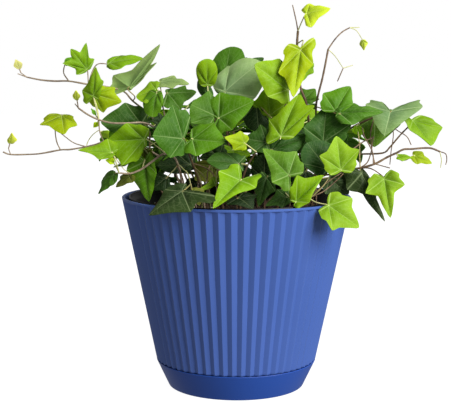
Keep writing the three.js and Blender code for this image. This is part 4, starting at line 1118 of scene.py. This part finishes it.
def fillShoot(number, root, end, blanks, materials, draw):
    rules = fillRules
    rootEnd, collar = rootPlaces(root)
    sway = Vector((draw.uniform(-rules["sway"], rules["sway"]), draw.uniform(-rules["sway"], rules["sway"]), 0))
    places = [rootEnd, collar]
    leaves = []
    turn = draw.uniform(0, 6)
    for step in range(rules["leaves"]):
        share = rules["lowest"] + (1 - rules["lowest"]) * (step + 1) / rules["leaves"]
        joint = collar.lerp(Vector(end), share) + sway * math.sin(share * math.pi)
        places.append(joint)
        turn += rules["turn"]
        out = Vector((math.cos(turn), math.sin(turn), 0))
        over = Vector((-out.y, out.x, 0))
        base = joint + out * draw.uniform(*rules["reach"]) + draw.uniform(1, 6) * upward
        along = (out * 0.8 + over * draw.uniform(-0.4, 0.4) + draw.uniform(-0.8, 0.3) * upward).normalized()
        tone = rules["tones"][(step + number) % len(rules["tones"])]
        size = draw.uniform(*rules["size"])
        leaves.append(ruledLeaf(tone, len(places) - 1, base, along, out * 0.8 + 0.7 * upward, size))
    runs = [(rules["radius"], *range(len(places)))]
    return makeStem(f"inner_{number + 1}", blanks, places, runs, leaves, materials, draw)


# Bare stalks from the soil to a stem: the slot of their finish, then the points read from the eye.
bareStalks = [
    (2, (-25, 118, -50), (-25.3, 146, -47), (-30, 157.5, -37)),
    (2, (-18, 118, -52), (-21, 147, -48), (-30.5, 158.5, -37)),
    (0, (-21, 118, -46), (-21.3, 150, -42), (-19, 160, -28), (-14.5, 166, -19)),
    (0, (-12, 118, -46), (-15.5, 149, -42), (-21, 157, -38), (-31, 161, -38)),
    (1, (-29, 118, -50), (-34, 150, -46), (-38.5, 157, -44), (-42, 160, -39)),
    (0, (-33, 118, -48), (-38.5, 149, -46), (-43, 159.5, -39)),
    (0, (46, 118, -46), (52, 135.5, -52), (60, 143, -50), (68, 149.5, -44), (78, 156, -30.5)),
    (0, (43, 118, -48), (50, 134, -55), (62, 140.5, -55), (70, 147, -48), (79, 156, -30.5)),
    (2, (40, 118, -50), (50, 133.5, -56), (56, 138.5, -57), (63, 145.5, -56), (67.5, 153, -53)),
    (0, (89, 158, -34), (94, 162, -33), (96.5, 169, -32), (97.5, 176, -31), (98, 181, -30)),
    (0, (98.5, 161, -36), (98, 168, -34), (95.5, 174, -33), (91.5, 181, -32), (90, 187, -30)),
    (2, (89, 158.5, -34), (88.4, 166, -34), (88.2, 175, -33), (87, 184, -31)),
    (0, (84, 172, -36), (91, 177, -33), (98.5, 180, -31)),
]


def modelBareStalks(materials):
    lines = [([seen(stop) for stop in stops], *stemLook["stalk"], slot) for slot, *stops in bareStalks]
    return drawLines("ivy_bare_stalks", lines, [materials["bark"], materials["palePetiole"], materials["petiole"]])


# Leaf and stem finishes
veinLook = {
    "width": 0.023,
    "tipShare": 0.35,  # of that width, at a vein's tip
    "sideSpacing": 0.075,
    "sideWidth": 0.012,
    "sideSlant": 0.8,
    "sideStrength": (0.34, 0.08),  # at the middle vein, at the edge
    "netScale": 15,
    "netWidth": 0.06,
    "netStrength": 0.22,
    "faceShare": 0.85,
    "backShare": 0.8,
}

# Tints are linear colours, a wash is its share and its colour, and a noise is its scale and detail.
faceLook = {
    "specular": 0.12,
    "roughness": (0.44, 0.62),
    "roughNoise": (260, 3),
    "blotch": (120, 4),
    "blotchRange": (0.35, 0.7),
    "blotchMost": 0.5,
    "blotchTint": (0.66, 0.76, 0.5, 1),
    "veinTint": (1.6, 1.45, 1.6, 1),
    "veinWash": (0.26, (0.72, 0.86, 0.42, 1)),
    "relief": (0.0004, 0.5),
}

backLook = {
    "specular": 0.12,
    "roughness": 0.66,
    "tint": (1.35, 1.4, 1.4, 1),
    "wash": (0.04, (0.3, 0.5, 0.14, 1)),
    "veinTint": (1.4, 1.35, 1.3, 1),
    "relief": (0.0004, 0.5),
}

stemGrain = {
    "cloud": (260, 4), "stretch": (1, 1, 0.4), "range": (0.3, 0.7), "grain": (900, 3), "relief": (0.0003, 0.5),
}
stemFinishes = {
    "leftBark": ("stem_bark_light", {**stemGrain, "dark": "#83705c", "light": "#a8957c", "roughness": 0.6}),
    "bark": ("stem_bark", {**stemGrain, "dark": "#503c2c", "light": "#806648", "roughness": 0.6}),
    "palePetiole": ("petiole_pale", {**stemGrain, "dark": "#b4b870", "light": "#cdc98c", "roughness": 0.5}),
    "petiole": ("petiole", {**stemGrain, "dark": "#7c8048", "light": "#a3905a", "roughness": 0.5}),
}


# The vein pattern on the blade's own map: strong main veins, weaker side veins and a fine net.
def veins(made):
    look = veinLook
    place = made.node("ShaderNodeUVMap", uv_map=bladeMap["name"]).outputs["UV"]
    split = made.node("ShaderNodeSeparateXYZ", {"Vector": place})
    spot = []
    for index, key in enumerate("ab"):
        start, scale = bladeMap[key]
        spot.append(made.calc("DIVIDE", made.calc("SUBTRACT", split.outputs[index], start), scale))
    a, b = made.calc("ABSOLUTE", spot[0]), spot[1]
    up = made.calc("SUBTRACT", b, leafLook["heart"])
    mask = 0.0
    for endA, endB in veinEnds:
        run = Vector((endA, endB - leafLook["heart"])).normalized()
        gone = made.calc("ADD", made.calc("MULTIPLY", a, run.x), made.calc("MULTIPLY", up, run.y))
        aside = made.calc("SUBTRACT", made.calc("MULTIPLY", a, run.y), made.calc("MULTIPLY", up, run.x))
        width = made.ramp(gone, 0, 0.9, look["width"], look["width"] * look["tipShare"])
        line = made.calc("SUBTRACT", 1, made.calc("DIVIDE", made.calc("ABSOLUTE", aside), width))
        line = made.calc("MULTIPLY", made.calc("MAXIMUM", line, 0), made.calc("GREATER_THAN", gone, 0))
        mask = made.calc("MAXIMUM", mask, line)
    slanted = made.calc("SUBTRACT", b, made.calc("MULTIPLY", a, look["sideSlant"]))
    sideLine = made.ramp(made.calc("PINGPONG", slanted, look["sideSpacing"]), 0, look["sideWidth"], 1, 0)
    sideLine = made.calc("MULTIPLY", sideLine, made.ramp(a, 0.05, 0.4, *look["sideStrength"]))
    links = {"Vector": place, "Scale": look["netScale"]}
    net = made.node("ShaderNodeTexVoronoi", links, feature="DISTANCE_TO_EDGE").outputs["Distance"]
    netLine = made.ramp(net, 0, look["netWidth"], look["netStrength"], 0)
    return made.calc("MAXIMUM", made.calc("MAXIMUM", mask, sideLine), netLine)


def finishLeafFace():
    look = faceLook
    made = Finish("leaf_face", look["roughness"][0], Specular_IOR_Level=look["specular"])
    tone = made.node("ShaderNodeAttribute", attribute_name="leafTone").outputs["Color"]
    place = made.objectPlace()
    blotch = made.noise(place, *look["blotch"])
    blotchShare = made.ramp(blotch, *look["blotchRange"], 0, look["blotchMost"])
    body = made.mix(blotchShare, tone, look["blotchTint"], "MULTIPLY")
    veinMask = veins(made)
    share, wash = look["veinWash"]
    paleVein = made.mix(share, made.mix(1, tone, look["veinTint"], "MULTIPLY"), wash)
    made.colour(made.mix(made.calc("MULTIPLY", veinMask, veinLook["faceShare"]), body, paleVein))
    made.rough(made.ramp(made.noise(place, *look["roughNoise"]), 0.3, 0.7, *look["roughness"]))
    made.bump(made.calc("SUBTRACT", made.calc("MULTIPLY", blotch, 0.5), veinMask), *look["relief"])
    return made.material


def finishLeafBack():
    look = backLook
    made = Finish("leaf_back", look["roughness"], Specular_IOR_Level=look["specular"])
    tone = made.node("ShaderNodeAttribute", attribute_name="leafTone").outputs["Color"]
    share, wash = look["wash"]
    matte = made.mix(share, made.mix(1, tone, look["tint"], "MULTIPLY"), wash)
    veinMask = veins(made)
    paleVein = made.mix(1, matte, look["veinTint"], "MULTIPLY")
    made.colour(made.mix(made.calc("MULTIPLY", veinMask, veinLook["backShare"]), matte, paleVein))
    made.bump(veinMask, *look["relief"])
    return made.material


# Floor and light
lightLook = {
    "floor": "#6e6e6e",
    "floorSize": 8,
    "floorGlow": 0.965,
    "ambient": 0.33,
    "aim": (0, 0, 0.14),
    "key": {"place": (1.155, -1.155, 1.01), "size": 1.3, "power": 60},
    "back": {"place": (0.1, 1.6, 0.3), "size": 2.2, "power": 26},
}


def addLamp(name, look):
    data = bpy.data.lights.new(name, "AREA")
    data.size = look["size"]
    data.energy = look["power"]
    lamp = addObject(name, data)
    lamp.location = look["place"]
    lamp.rotation_euler = (Vector(look["place"]) - Vector(lightLook["aim"])).to_track_quat("Z", "Y").to_euler()
    return lamp


def setStage():
    look = lightLook
    deselectAll()
    bpy.ops.mesh.primitive_plane_add(size=look["floorSize"], location=(0, 0, 0))
    floor = bpy.context.object
    floor.name = "floor"
    made = Finish("pale_floor", 0.9, Specular_IOR_Level=0.0)
    made.colour(shade(look["floor"]))
    made.put((1, 1, 1, 1), made.shader.inputs["Emission Color"])
    made.put(look["floorGlow"], made.shader.inputs["Emission Strength"])
    floor.data.materials.append(made.material)
    floor.visible_diffuse = False  # the glow is for the eye alone
    floor.visible_glossy = False
    world = bpy.context.scene.world or bpy.data.worlds.new("studio")
    bpy.context.scene.world = world
    world.use_nodes = True
    tree = world.node_tree
    background = tree.nodes["Background"]
    background.inputs["Color"].default_value = (1, 1, 1, 1)
    # The eye sees plain white, while the plant gets a softer light from all round.
    strength = tree.nodes.new("ShaderNodeMapRange")
    strength.inputs["To Min"].default_value = look["ambient"]
    strength.inputs["To Max"].default_value = 1
    tree.links.new(tree.nodes.new("ShaderNodeLightPath").outputs["Is Camera Ray"], strength.inputs["Value"])
    tree.links.new(strength.outputs["Result"], background.inputs["Strength"])
    addLamp("key", look["key"])
    backLamp = addLamp("back", look["back"])
    backLamp.visible_camera = False
    backLamp.visible_glossy = False
    bpy.context.scene.view_settings.view_transform = "Standard"


# The piece stands for a CAD node, in a finish of its own where one is given.
def place(piece, node, material=None):
    if material:
        piece.data.materials.clear()
        piece.data.materials.append(material)
    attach(piece, "root")
    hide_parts(node)


def main():
    setCamera()
    setStage()
    print("camera and stage set")
    place(modelPot(), "planter", finishTwoTone("pot_plastic", potLook["finish"]))
    place(modelTurned("pot_saucer", saucerLook), "saucer", finishTwoTone("saucer_plastic", saucerLook["finish"]))
    black = finishTwoTone("black_plastic", nurseryLook["finish"])
    place(modelTurned("nursery_pot", nurseryLook), "grower_pot", black)
    print("pots made")
    place(modelSoil(), "soil", finishSoil())
    draw = random.Random(soilLook["seed"])
    for name, look in crumbLook.items():
        place(modelCrumbs(name, look, draw), "soil", finishTwoTone(look["material"], look["finish"]))
    print("potting mix made")
    blanks = {kind: modelBlank(kind) for kind in bladeKinds}
    materials = {key: finishTwoTone(*finish) for key, finish in stemFinishes.items()}
    materials.update(leafFace=finishLeafFace(), leafBack=finishLeafBack())
    draw = random.Random(leafLook["seed"])
    for name, table in stemTable.items():
        place(frontStem(name, table, blanks, materials, draw), "leafy_stem_" + name)
    chance = Chance(plantRules["seed"])
    for number in range(plantRules["backStems"]):
        place(backStem(number, chance, blanks, materials, draw), f"leafy_stem_back_{number + 1}")
    print("front and back stems made")
    draw = random.Random(fillRules["seed"])
    for number, (root, end) in enumerate(fillRules["shoots"]):
        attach(fillShoot(number, root, end, blanks, materials, draw), "root")
    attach(modelBareStalks(materials), "root")
    for blank in blanks.values():
        bpy.data.objects.remove(blank)
    print("ivy made")


main()
